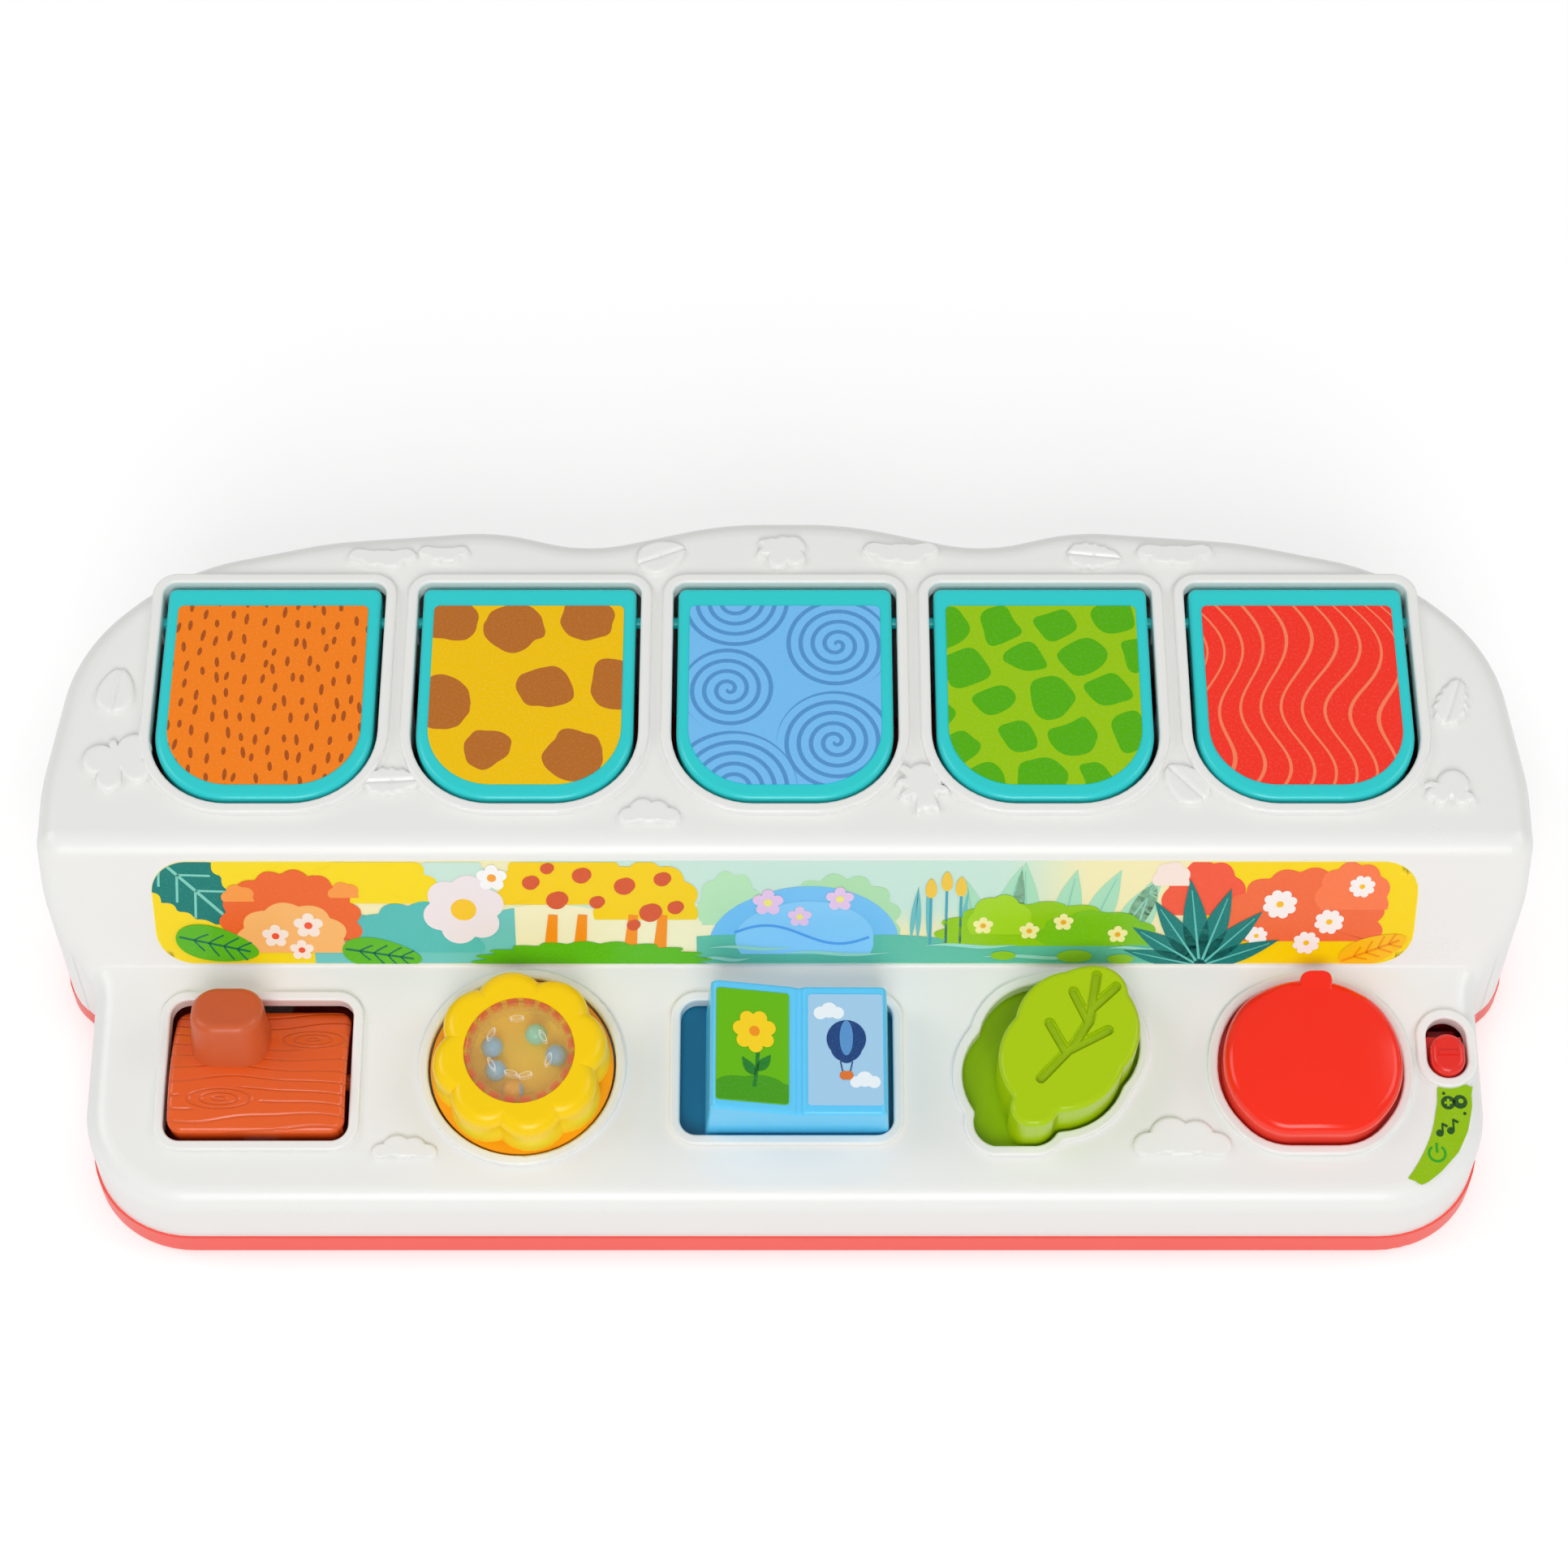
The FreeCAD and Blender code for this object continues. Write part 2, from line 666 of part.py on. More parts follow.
def lid(bay):
    """A lid: a rounded D-shaped shell with a hinge rod across its heel and a catch at its nose."""
    body = DOC.addObject("PartDesign::Body", f"door_lid_{bay + 3}")
    tall = "Sizes.lid_rise + Sizes.lid_skirt"
    solid_box(body, f"Plate{bay + 3}", "Sizes.lid_wide", "Sizes.lid_long", tall,
              "-Sizes.lid_wide / 2", "-Sizes.lid_long", "-Sizes.lid_skirt")
    front = -size("lid_long")
    rounded(body, f"Nose{bay + 3}", "Sizes.lid_corner", lambda e: upright(e) and e.BoundBox.YMax < front + 1)
    rounded(body, f"Heel{bay + 3}", "Sizes.lid_heel", lambda e: upright(e) and e.BoundBox.YMin > -0.01)
    DOC.recompute()
    tip = body.Tip
    under = [f"Face{index}" for index, face in enumerate(tip.Shape.Faces, start=1)
             if face.BoundBox.ZMax < -size("lid_skirt") + 0.01]
    shell = body.newObject("PartDesign::Thickness", f"Shell{bay + 3}")
    shell.Base = (tip, under)
    shell.Reversed = True
    bind(shell, {"Value": "Sizes.lid_wall"})
    rounded(body, f"Crown{bay + 3}", "Sizes.lid_edge", at_height(size("lid_rise")))
    pin = body.newObject("PartDesign::AdditiveCylinder", f"HingeRod{bay + 3}")
    pin.Placement = Placement(Vector(0, 0, 0), Rotation(Vector(0, 1, 0), 90))
    reach = "(Sizes.lid_wide / 2 + Sizes.lid_gap + Sizes.pin_reach)"
    bind(pin, {
        "Radius": "Sizes.pin_radius",
        "Height": f"2 * {reach}",
        "Placement.Base.x": f"-{reach}",
        "Placement.Base.y": "-Sizes.pin_back",
        "Placement.Base.z": "-Sizes.pin_deep",
    })
    half = "-Sizes.catch_wide / 2"
    foot = "-Sizes.lid_skirt - Sizes.catch_drop"
    solid_box(body, f"CatchLeg{bay + 3}", "Sizes.catch_wide", "Sizes.catch_thick",
              "Sizes.catch_drop + Sizes.lid_skirt + 0.8", half,
              "-Sizes.lid_long + Sizes.catch_in + Sizes.catch_ledge", foot)
    solid_box(body, f"CatchLedge{bay + 3}", "Sizes.catch_wide", "Sizes.catch_ledge + 0.1",
              "Sizes.catch_thick", half, "-Sizes.lid_long + Sizes.catch_in", foot)
    body.Tip = body.Group[-1]
    seat(body, "rear", bay)
    return subpart(body, f"door_lid_{bay + 3}")


for bay in range(-2, 3):
    lid(bay)

LABEL_SIDE = 2.9
LABEL_BACK = 5.4
LABEL_FRONT = 3.9


def lid_label():
    """The printed label on a lid, following the lid's outline inside a plain border."""
    half = size("lid_wide") / 2 - LABEL_SIDE
    front = -size("lid_long") + LABEL_FRONT
    nose = size("lid_corner") - LABEL_SIDE
    wire = rounded_wire([(-half, front, nose), (half, front, nose), (half, -LABEL_BACK, 1.4),
                         (-half, -LABEL_BACK, 1.4)])
    return slab(wire, size("lid_rise"), size("lid_rise") + size("label_thick"))


for bay in range(-2, 3):
    moulded(f"door_label_{bay + 3}", lid_label(), "rear", bay)

# ---------------------------------------------------------------- animals


def ball(centre, radius):
    return Part.makeSphere(radius, Vector(*centre))


def flap(centre, radius, thick):
    """Flat round ear with a rounded rim."""
    x, y, z = centre
    disc = rod(radius, (x, y, z - thick / 2), (x, y, z + thick / 2))
    return disc.makeFillet(thick * 0.4, [edge for edge in disc.Edges if edge.BoundBox.ZLength < 0.01])


def figure(chest, head):
    """An animal lying under its lid: a chest at the hinge, a head near the catch, a stalk to the ceiling.

    The head's parts are given from its middle, which keeps its distance from the lid's nose.
    """
    middle = head_line()
    stalk = box((-9, 9), (middle + 3, -13), (-7, -(size("lid_wall") - size("lid_rise"))))
    for part in head:
        part.translate(Vector(0, middle, 0))
    return joined([stalk] + chest + head)


def head_line():
    return HEAD_ROOM - size("lid_long")


def shoulders(width, behind_head):
    """Rounded chest block that every animal shares."""
    back = head_line() + behind_head
    bend = min(7.0, (CHEST_FRONT - back) / 2)
    wire = rectangle(width, CHEST_FRONT - back, bend, (0, (CHEST_FRONT + back) / 2))
    return rounded_edges(slab(wire, -19, -6.2), min(3.0, 0.8 * bend), at_height(-19))


HEAD_ROOM = 21.9
CHEST_FRONT = -12.0


def monkey():
    return figure([shoulders(26, 5)], [
        ball((0, 0, -12.5), 10.5),
        ball((0, 3.5, -18.5), 6.5),
        flap((-12.5, -1, -12), 4.8, 3.6),
        flap((12.5, -1, -12), 4.8, 3.6),
    ])


def giraffe():
    back = head_line() - 3
    throat = rectangle(10.4, -16 - back, 4.2, (0, (-16 + back) / 2))
    neck = rounded_edges(slab(throat, -17.6, -7), 1.8, at_height(-17.6))
    horns = []
    for side in (-1, 1):
        horns.append(Part.makeCone(1.9, 1.2, 7.5, Vector(side * 3, -4, -12.2), Vector(side * 0.15, -1, 0)))
        horns.append(ball((side * 4.1, -11.6, -12.2), 2.0))
    return figure([shoulders(22, 11), neck], [
        ball((0, -2, -12.5), 7.8),
        ball((0, 1.5, -17.5), 5.4),
        flap((-8.5, -5, -11.6), 3.4, 2.8),
        flap((8.5, -5, -11.6), 3.4, 2.8),
    ] + horns)


def elephant():
    return figure([shoulders(26, 7)], [
        ball((0, -1, -12.5), 10.5),
        flap((-13.5, -1, -10.6), 8.0, 3.2),
        flap((13.5, -1, -10.6), 8.0, 3.2),
        ball((0, 4.4, -21.0), 3.9),
        ball((0, 8.8, -22.4), 3.4),
        ball((0, 12.8, -21.6), 3.0),
    ])


def crocodile():
    return figure([shoulders(24, 5)], [
        ball((0, 0, -12.5), 10.2),
        rounded_edges(slab(rectangle(14, 17, 6.0, (0, 5.5)), -24.5, -14), 2.5, at_height(-24.5)),
        ball((-5.4, -6.4, -16.2), 3.7),
        ball((5.4, -6.4, -16.2), 3.7),
    ])


def fox():
    ears = []
    for side in (-1, 1):
        foot, way = Vector(side * 6.4, -5.5, -12), Vector(side * 0.28, -1, 0)
        ears.append(Part.makeCone(4.6, 0.8, 10.5, foot, way))
    return figure([shoulders(24, 5)], [
        ball((0, 0, -12.5), 10.4),
        ball((0, 3.5, -18.8), 5.4),
        ball((0, 4.6, -23.6), 1.7),
    ] + ears)


ANIMALS = {"monkey": monkey, "giraffe": giraffe, "elephant": elephant, "crocodile": crocodile, "fox": fox}
for bay, (name, shape) in zip(range(-2, 3), ANIMALS.items()):
    moulded(f"figure_{name}", shape(), "rear", bay)

# ---------------------------------------------------------------- latches

RISER_THICK = 3.0
RISER_BACK = lane() - 0.5
NOSE_THICK = 2.0
WEDGE_HIGH = 5.5


def catch_point():
    """World (y, z) of the middle of the slot above a lid's catch ledge, just clear of its swing."""
    ledge_top = -size("lid_skirt") - size("catch_drop") + size("catch_thick")
    back, deep = -size("pin_back"), -size("pin_deep")
    swing = math.hypot(-size("lid_long") + size("catch_in") - back, ledge_top - size("catch_thick") - deep)
    level = ledge_top + size("play") + NOSE_THICK / 2
    reach = back - swing - size("play")
    place = deck_frame("rear").multVec(Vector(0, reach, level))
    return place.y, place.z


def latch_bar(front):
    """The bar common to all latches: a rail, a riser behind the fascia and a nose at the catch."""
    half = size("rail_wide") / 2
    low = rail_low()
    top = low + size("rail_thick")
    tip_y, tip_z = catch_point()
    crown = tip_z + NOSE_THICK / 2
    riser = (RISER_BACK - RISER_THICK, RISER_BACK)
    return [
        box((-half, half), (front, RISER_BACK), (low, top)),
        box((-half, half), riser, (low, crown)),
        box((-half, half), (RISER_BACK, tip_y), (crown - NOSE_THICK, crown)),
    ]


def push_direction(travel_y, travel_z):
    """Direction of the cam face that turns a push into the latch's travel, in the y-z plane."""
    run = Vector(0, -size("latch_travel") - travel_y, -travel_z)
    run.normalize()
    return run


def latch(name, bay, extra, front):
    thing = moulded(name, joined(latch_bar(front) + extra))
    bind(thing, {"Placement.Base.x": f"{bay} * Sizes.bay_pitch"})


def cam_wedge(run, foot_y, high):
    """Wedge on a rail whose sloping face follows a direction, from the rail up and forward."""
    half = size("rail_wide") / 2
    top = rail_low() + size("rail_thick")
    reach = foot_y + run.y / run.z * high
    outline = [(foot_y, top - 0.5), (foot_y, top), (reach, top + high), (reach - 2.5, top + high),
               (reach - 2.5, top - 0.5)]
    return side_prism(outline, (-half, half))


def slide_fin(travel, foot_y):
    """Upright fin whose sloping back face is pushed forward by a cam that slides along -X."""
    half = size("rail_wide") / 2
    slope = size("latch_travel") / travel
    top = rail_low() + size("rail_thick")
    outline = [(-half, foot_y), (half, foot_y - slope * 2 * half), (half, foot_y - 8), (-half, foot_y - 8)]
    return plan_prism(outline, (top - 0.5, top + WEDGE_HIGH))


LOG_PIVOT = (-2.0, -5.0)
LOG_TIP = (-14.0, -9.0)
TIP_RADIUS = 1.5


def log_tip_travel():
    """How far the log's pushing tip moves over the full turn, in deck axes (y, z)."""
    reach = (LOG_TIP[0] - LOG_PIVOT[0], LOG_TIP[1] - LOG_PIVOT[1])
    s, c = sin("log_turn"), cos("log_turn")
    return reach[0] * c - reach[1] * s - reach[0], reach[0] * s + reach[1] * c - reach[1]


def world_direction(deck, y, z):
    turned = Rotation(Vector(1, 0, 0), number(DECKS[deck][2])).multVec(Vector(0, y, z))
    return turned.y, turned.z


LOG_RUN = push_direction(*world_direction("front", *log_tip_travel()))
APPLE_RUN = push_direction(*world_direction("front", 0, -size("apple_travel")))


def wedge_foot(run, point, clear):
    """Where a wedge's face must meet its rail so that a point stands clear of the face."""
    top = rail_low() + size("rail_thick")
    normal = Vector(0, run.z, -run.y)
    on_face = point - normal * clear
    return on_face.y - run.y / run.z * (on_face.z - top)


log_tip_world = deck_frame("front").multVec(Vector(0, *LOG_TIP))
log_foot = wedge_foot(LOG_RUN, log_tip_world, TIP_RADIUS + 2 * size("play"))
latch("latch_1", BAYS["log"], [cam_wedge(LOG_RUN, log_foot, WEDGE_HIGH)], log_foot - 12)

APPLE_TIP_DEEP = 13.0
APPLE_WEDGE_HIGH = 5.0
PLUNGER_FOOT = rail_low() + size("rail_thick") + size("apple_travel") + size("play")
apple_tip_world = deck_frame("front", BAYS["apple"]).multVec(Vector(0, 0, -APPLE_TIP_DEEP))
apple_foot = wedge_foot(APPLE_RUN, apple_tip_world, size("play"))
latch("latch_5", BAYS["apple"], [cam_wedge(APPLE_RUN, apple_foot, APPLE_WEDGE_HIGH)], apple_foot - 10)

FIN_FOOT = number(FRONT_Y) + 2
latch("latch_3", BAYS["book"], [slide_fin(size("book_travel"), FIN_FOOT)], FIN_FOOT - 10)
latch("latch_4", BAYS["leaf"], [slide_fin(size("leaf_travel"), FIN_FOOT)], FIN_FOOT - 10)

DRIVE_RADIUS = 1.5


def dial_pin_reach():
    """Distance of the dial's drive pin from its axis, so that its turn moves the latch fully."""
    return size("latch_travel") / sin("dial_turn")


def dial_fork():
    """Two fins on the rail with the dial's drive pin between them."""
    reach = dial_pin_reach()
    gap = DRIVE_RADIUS + 0.5
    top = rail_low() + size("rail_thick")
    middle = deck_frame("front").multVec(Vector(0, 0, -DIAL_PIN_DEEP)).y
    x = (reach - DRIVE_RADIUS - 2.2, reach + DRIVE_RADIUS + 0.4)
    web = box((0, x[1]), (middle - gap - 2, middle + gap + 2), (top - size("rail_thick"), top))
    fore = box(x, (middle - gap - 2, middle - gap), (top - 0.5, top + WEDGE_HIGH))
    aft = box(x, (middle + gap, middle + gap + 2), (top - 0.5, top + WEDGE_HIGH))
    return [web, fore, aft]


DIAL_PIN_DEEP = 13.5
latch("latch_2", BAYS["flower"], dial_fork(), number(FRONT_Y) - 8)

# ---------------------------------------------------------------- log control

LOG_APEX = -6.0
LOG_SWING = 0.7
PAD_THICK = 2.2
PAD_BROW = 1.5


def log_rocker():
    """Curved pad with side cheeks, two trunnions and a pushing arm."""
    half, reach = size("log_wide") / 2, size("log_long") / 2
    crown, curve = size("log_crown"), size("log_curve")
    front, back = LOG_BACK - reach + LOG_SWING, LOG_BACK + reach

    def arc_at(radius, y):
        return crown - curve + math.sqrt(radius ** 2 - (y - LOG_APEX) ** 2)

    def skin(radius, y0, y1):
        middle = (y0 + y1) / 2
        return Part.Arc(*[Vector(-half, y, arc_at(radius, y)) for y in (y0, middle, y1)]).toShape()

    def line(p, q):
        return Part.LineSegment(Vector(-half, *p), Vector(-half, *q)).toShape()

    inner = curve - PAD_THICK
    low = -4.5
    wall = 1.8
    outline = Part.Wire([
        skin(curve, front, back),
        line((back, arc_at(curve, back)), (back, arc_at(curve, back) - 4.0)),
        line((back, arc_at(curve, back) - 4.0), (back - wall, arc_at(curve, back) - 4.0)),
        line((back - wall, arc_at(curve, back) - 4.0), (back - wall, arc_at(inner, back - wall))),
        skin(inner, back - wall, front + wall),
        line((front + wall, arc_at(inner, front + wall)), (front + wall, low)),
        line((front + wall, low), (front, low)),
        line((front, low), (front, arc_at(curve, front))),
    ])
    pad = Part.Face(outline).extrude(Vector(2 * half, 0, 0))
    corners = rectangle(2 * half, back - front, 3.6, (0, (front + back) / 2))
    pad = largest(pad.common(slab(corners, -30, 30)))
    crown_face = max(pad.Faces, key=lambda face: face.CenterOfMass.z)
    pad = pad.makeFillet(PAD_BROW, crown_face.OuterWire.Edges)
    y, z = LOG_PIVOT
    cheeks = []
    for side in (-1, 1):
        x = sorted((side * (half - 4.5), side * (half - 2.5)))
        cheeks.append(side_prism([(y - 4, z - 3.5, 2), (y + 4, z - 3.5, 2), (y + 4, 2.0), (y - 4, 2.0)], x))
        cheeks.append(rod(2.0, (side * (half - 4.6), y, z), (side * (half + 5.0), y, z)))
    tip_y, tip_z = LOG_TIP
    arm = [(tip_y - 1, tip_z), (tip_y + 1.4, tip_z), (tip_y + 5, 2.4), (tip_y - 1, 1.9)]
    arm = side_prism(arm, (-2.5, 2.5))
    tip = rod(TIP_RADIUS, (-2.5, tip_y, tip_z), (2.5, tip_y, tip_z))
    solid = joined([pad] + cheeks + [arm, tip])
    return solid


def log_bearings():
    """Two hangers under the front deck that carry the log's trunnions."""
    y, z = LOG_PIVOT
    half = size("log_wide") / 2
    hangers = []
    for side in (-1, 1):
        x = sorted((side * (half + CONTROL_GAP + 0.6), side * (half + CONTROL_GAP + 4.0)))
        block = box(x, (y - 4.5, y + 4.5), (z - 4.5, -size("wall")))
        hangers.append(block.cut(rod(2.0 + size("pin_fit"), (x[0] - 1, y, z), (x[1] + 1, y, z))))
    return Part.makeCompound(hangers)


KNOB_LEAN = 20.0
KNOB_PLACE = (-6.8, 6.2)


def log_knob():
    """Rounded square grip that leans back with the pad it stands on."""
    high = size("log_knob_high")
    foot = rectangle(18.6, 15.6, 6.0)
    top = rectangle(16.6, 13.6, 6.0)
    top.translate(Vector(0, 0, high))
    foot.translate(Vector(0, 0, -1.5))
    grip = Part.makeLoft([foot, top], True, True)
    grip = rounded_edges(grip, 2.2, at_height(high))
    x, y = KNOB_PLACE
    z = size("log_crown") - size("log_curve") + math.sqrt(size("log_curve") ** 2 - (y - LOG_APEX) ** 2)
    grip.Placement = Placement(Vector(x, y, z), Rotation(Vector(1, 0, 0), -KNOB_LEAN))
    return grip


rocker = log_rocker()
moulded("log_rocker", rocker, "front", BAYS["log"])
knob = log_knob().cut(rocker)
moulded("log_knob", largest(knob), "front", BAYS["log"])
moulded("log_bearings", log_bearings(), "front", BAYS["log"])

# ---------------------------------------------------------------- flower control

PETAL_TURN = 32.0
SHAFT_RADIUS = 6.0
DISH_FLOOR = -0.6


def petals():
    """Four petals, each of two rounded lobes, on a round hub with a seat for the window."""
    reach, high = size("flower_reach"), size("flower_high")
    lobe = 8.6
    away = reach - lobe
    solids = []
    for petal in range(4):
        for side in (-1, 1):
            angle = math.radians(PETAL_TURN + 90 * petal + side * 20.5)
            post = Part.makeCone(lobe + 0.7, lobe, high - DISH_FLOOR - 1)
            post = rounded_edges(post, 3.2, at_height(high - DISH_FLOOR - 1))
            post.translate(Vector(away * math.cos(angle), away * math.sin(angle), DISH_FLOOR + 1))
            solids.append(post)
    hub = rod(size("window_radius") + 0.8, (0, 0, DISH_FLOOR + 1), (0, 0, high))
    bowl = rod(size("window_radius") - 0.6, (0, 0, 2.5), (0, 0, high + 1))
    ledge = rod(size("window_radius"), (0, 0, high - 1.6), (0, 0, high + 1))
    return joined(solids + [hub]).cut([bowl, ledge])


def dish():
    """Shallow turning dish under the petals, with the shaft that holds the dial in its bearing."""
    edge = size("dial_opening") - 0.6
    plate = rod(edge, (0, 0, DISH_FLOOR), (0, 0, DISH_FLOOR + 1))
    wall = rod(edge, (0, 0, -3.2), (0, 0, DISH_FLOOR))
    well = rod(edge - 1.6, (0, 0, -4), (0, 0, DISH_FLOOR - 0.8))
    shaft = rod(SHAFT_RADIUS, (0, 0, -8.6), (0, 0, DISH_FLOOR))
    return joined([plate, wall.cut(well), shaft])


def dial_bearing():
    """Cup under the front deck that the dial turns in, with a floor bored for the shaft."""
    edge = size("dial_opening") + 3.0
    cup = rod(edge, (0, 0, -7.2), (0, 0, -size("wall")))
    hollow = rod(edge - 1.8, (0, 0, -5.2), (0, 0, 0))
    bore = rod(SHAFT_RADIUS + size("pin_fit"), (0, 0, -10), (0, 0, 0))
    return cup.cut([hollow, bore])


def dial_retainer():
    """Washer plate screwed to the shaft under the bearing, with the pin that drives the latch."""
    reach = dial_pin_reach()
    plate = rod(SHAFT_RADIUS + 4.5, (0, 0, -10.4), (0, 0, -8.6))
    pin = rod(DRIVE_RADIUS, (reach, 0, -DIAL_PIN_DEEP - 1.5), (reach, 0, -8.6))
    head = rod(2.6, (0, 0, -11.6), (0, 0, -10.4))
    return joined([plate, pin, head])


def window():
    """Clear domed window with a thin flange that drops into the petals' seat."""
    high = size("flower_high")
    flange = rod(size("window_radius") - 0.1, (0, 0, high - 1.6), (0, 0, high - 0.2))
    dome = Part.makeSphere(48.0, Vector(0, 0, high + 1.5 - 48.0))
    crown = rod(size("window_radius") - 0.6, (0, 0, high - 1.6), (0, 0, high + 3)).common(dome)
    inner = rod(size("window_radius") - 2.4, (0, 0, high - 3), (0, 0, high - 0.6))
    return joined([flange, crown]).cut(inner)


def rattle_beads():
    """Loose beads on the bowl's floor."""
    bead = 2.6
    beads = []
    for ring, angle in ((7.6, 155), (7.2, 62), (8.4, 8), (7.8, 258), (6.4, 205)):
        place = (ring * math.cos(math.radians(angle)), ring * math.sin(math.radians(angle)))
        beads.append(Part.makeSphere(bead, Vector(*place, 2.5 + bead)))
    return Part.makeCompound(beads)


moulded("flower_petals", petals(), "front", BAYS["flower"])
moulded("flower_dish", dish(), "front", BAYS["flower"])
moulded("flower_window", window(), "front", BAYS["flower"])
moulded("rattle_beads", rattle_beads(), "front", BAYS["flower"])
moulded("dial_retainer", dial_retainer(), "front", BAYS["flower"])
moulded("dial_bearing", dial_bearing(), "front", BAYS["flower"])

# ---------------------------------------------------------------- book control

PLATE_TOP = -3.0
PLATE_THICK = 1.8
GUTTER = 0.0


def book_block():
    """Open book: two pages that fall to a gutter, the left one rising to its outer edge."""
    half, reach = size("book_wide") / 2, size("book_long") / 2
    tall, low = size("book_tall"), size("book_low")
    outline = [(-half, PLATE_TOP, 0), (half, PLATE_TOP, 0), (half - 0.9, low, 1.6),
               (GUTTER + 1.6, low + 0.2, 0.8), (GUTTER + 0.4, low - 0.7, 0.6),
               (GUTTER - 0.8, low + 0.1, 0.8), (-half + 1.6, tall, 1.8)]
    wire = rounded_wire(outline, lambda u, v: Vector(u + BOOK_SHIFT, BOOK_BACK - reach, v))
    block = Part.Face(wire).extrude(Vector(0, 2 * reach, 0))

    def brink(edge):
        bounds = edge.BoundBox
        flat = bounds.YLength < 0.01
        return flat and bounds.ZMin > PLATE_TOP + 0.5 and bounds.ZMax > 6 and bounds.XLength > 0.2

    return rounded_edges(block, 0.9, brink)


def page_label(left):
    """Printed panel on one page."""
    half = size("book_wide") / 2
    tall, low = size("book_tall"), size("book_low")
    wide = half - 4.2
    if left:
        run = (half - 2.4, tall - low - 0.1)
        middle = Vector(-half + 1.6 + run[0] / 2, 0, (tall + low + 0.1) / 2)
        lean = math.degrees(math.atan2(run[1], run[0]))
    else:
        middle = Vector((half + 0.7) / 2, 0, low + 0.1)
        lean = math.degrees(math.atan2(0.2, half - 2.5))
    panel = slab(rectangle(wide, size("book_long") - 4.2, 0.8), 0.0, size("label_thick"))
    panel.Placement = Placement(middle + Vector(BOOK_SHIFT, BOOK_BACK, 0), Rotation(Vector(0, 1, 0), lean))
    return panel


def carrier_plate(x, y, cam_travel):
    """Flat plate that slides under the deck, with the cam that pushes the latch."""
    middle = ((x[0] + x[1]) / 2, (y[0] + y[1]) / 2)
    plate = slab(rectangle(x[1] - x[0], y[1] - y[0], 3.0, middle), PLATE_TOP - PLATE_THICK, PLATE_TOP)
    half = size("rail_wide") / 2
    slope = size("latch_travel") / cam_travel
    clear = size("play") * math.hypot(1, slope)
    reach = half + cam_travel
    near = FIN_FOOT + clear
    outline = [(-half, near), (reach, near - slope * (reach + half)), (reach, near + 5), (-half, near + 5)]
    top = rail_low() + size("rail_thick")
    cam = plan_prism(outline, (top + size("play"), number(FRONT_Z)))
    cover = box((-90, 90), (-90, 90), (PLATE_TOP - 0.5, 60))
    cover.Placement = deck_frame("front")
    cam = cam.cut(cover)
    cam.Placement = deck_frame("front").inverse()
    return joined([plate, cam])


def carrier_rails(x, y):
    """Pair of rails under the deck that hold a carrier plate by its front and back edges."""
    rails = []
    for side, edge in ((-1, y[0]), (1, y[1])):
        web = sorted((edge + side * size("play"), edge + side * (size("play") + 1.6)))
        lip = sorted((edge - side * 1.5, edge + side * (size("play") + 1.6)))
        level = PLATE_TOP - PLATE_THICK - size("play")
        rails.append(joined([
            box(x, web, (level - 1.6, -size("wall"))),
            box(x, lip, (level - 1.6, level)),
        ]))
    return Part.makeCompound(rails)


book = book_block()
moulded("book_block", book, "front", BAYS["book"])
moulded("book_label_left", page_label(True).cut(book), "front", BAYS["book"])
moulded("book_label_right", page_label(False).cut(book), "front", BAYS["book"])
BOOK_PLATE_X = (-26.4, 30.6)
BOOK_PLATE_Y = (-19.5, 18.5)
moulded("book_plate", carrier_plate(BOOK_PLATE_X, BOOK_PLATE_Y, size("book_travel")), "front", BAYS["book"])
moulded("book_rails", carrier_rails((-24, 24), BOOK_PLATE_Y), "front", BAYS["book"])

# ---------------------------------------------------------------- leaf control

VEIN_RADIUS = 1.3
VEIN_DEEP = 1.2
# The midrib from foot to tip and the five branches that leave it, as runs of (x, y) points.
VEINS = [
    [(-2.6, -7.4), (5.6, 1.2), (9.2, 7.0), (11.2, 18.0)],
    [(3.0, 0.0), (-0.2, 6.2)],
    [(4.6, -0.2), (13.4, 4.4)],
    [(9.0, 6.4), (5.6, 14.0)],
    [(10.4, 10.4), (15.6, 15.2)],
]


def groove(points):
    """Round-ended groove along a run of points, cut from the top."""
    high = size("leaf_tall")
    tools = []
    for (x, y) in points:
        tools.append(rod(VEIN_RADIUS, (x, y, high - VEIN_DEEP), (x, y, high + 1)))
    for (x0, y0), (x1, y1) in zip(points, points[1:]):
        run = math.hypot(x1 - x0, y1 - y0)
        bar = box((0, run), (-VEIN_RADIUS, VEIN_RADIUS), (high - VEIN_DEEP, high + 1))
        heading = math.degrees(math.atan2(y1 - y0, x1 - x0))
        bar.Placement = Placement(Vector(x0, y0, 0), Rotation(Vector(0, 0, 1), heading))
        tools.append(bar)
    return tools


def leaf_block():
    """Thick leaf with rounded lobes, veins cut in its top."""
    high = size("leaf_tall")
    block = slab(leaf_outline(), PLATE_TOP, high)
    block = rounded_edges(block, 1.4, at_height(high))
    return block.cut([tool for vein in VEINS for tool in groove(vein)])


moulded("leaf_block", leaf_block(), "front", BAYS["leaf"])
LEAF_PLATE_X = (-23.0, 30.2)
LEAF_PLATE_Y = (-22.0, 23.4)
moulded("leaf_plate", carrier_plate(LEAF_PLATE_X, LEAF_PLATE_Y, size("leaf_travel")), "front", BAYS["leaf"])
moulded("leaf_rails", carrier_rails((-22, 28), LEAF_PLATE_Y), "front", BAYS["leaf"])

# ---------------------------------------------------------------- apple control

PLUNGER_RADIUS = 4.0
BUTTON_WALL = 2.0
BRIDGE_LEVEL = -8.6
STOP_LEVEL = -size("wall") - size("play")
SKIRT_LEVEL = STOP_LEVEL - 1.5
SPRING_COILS = 6


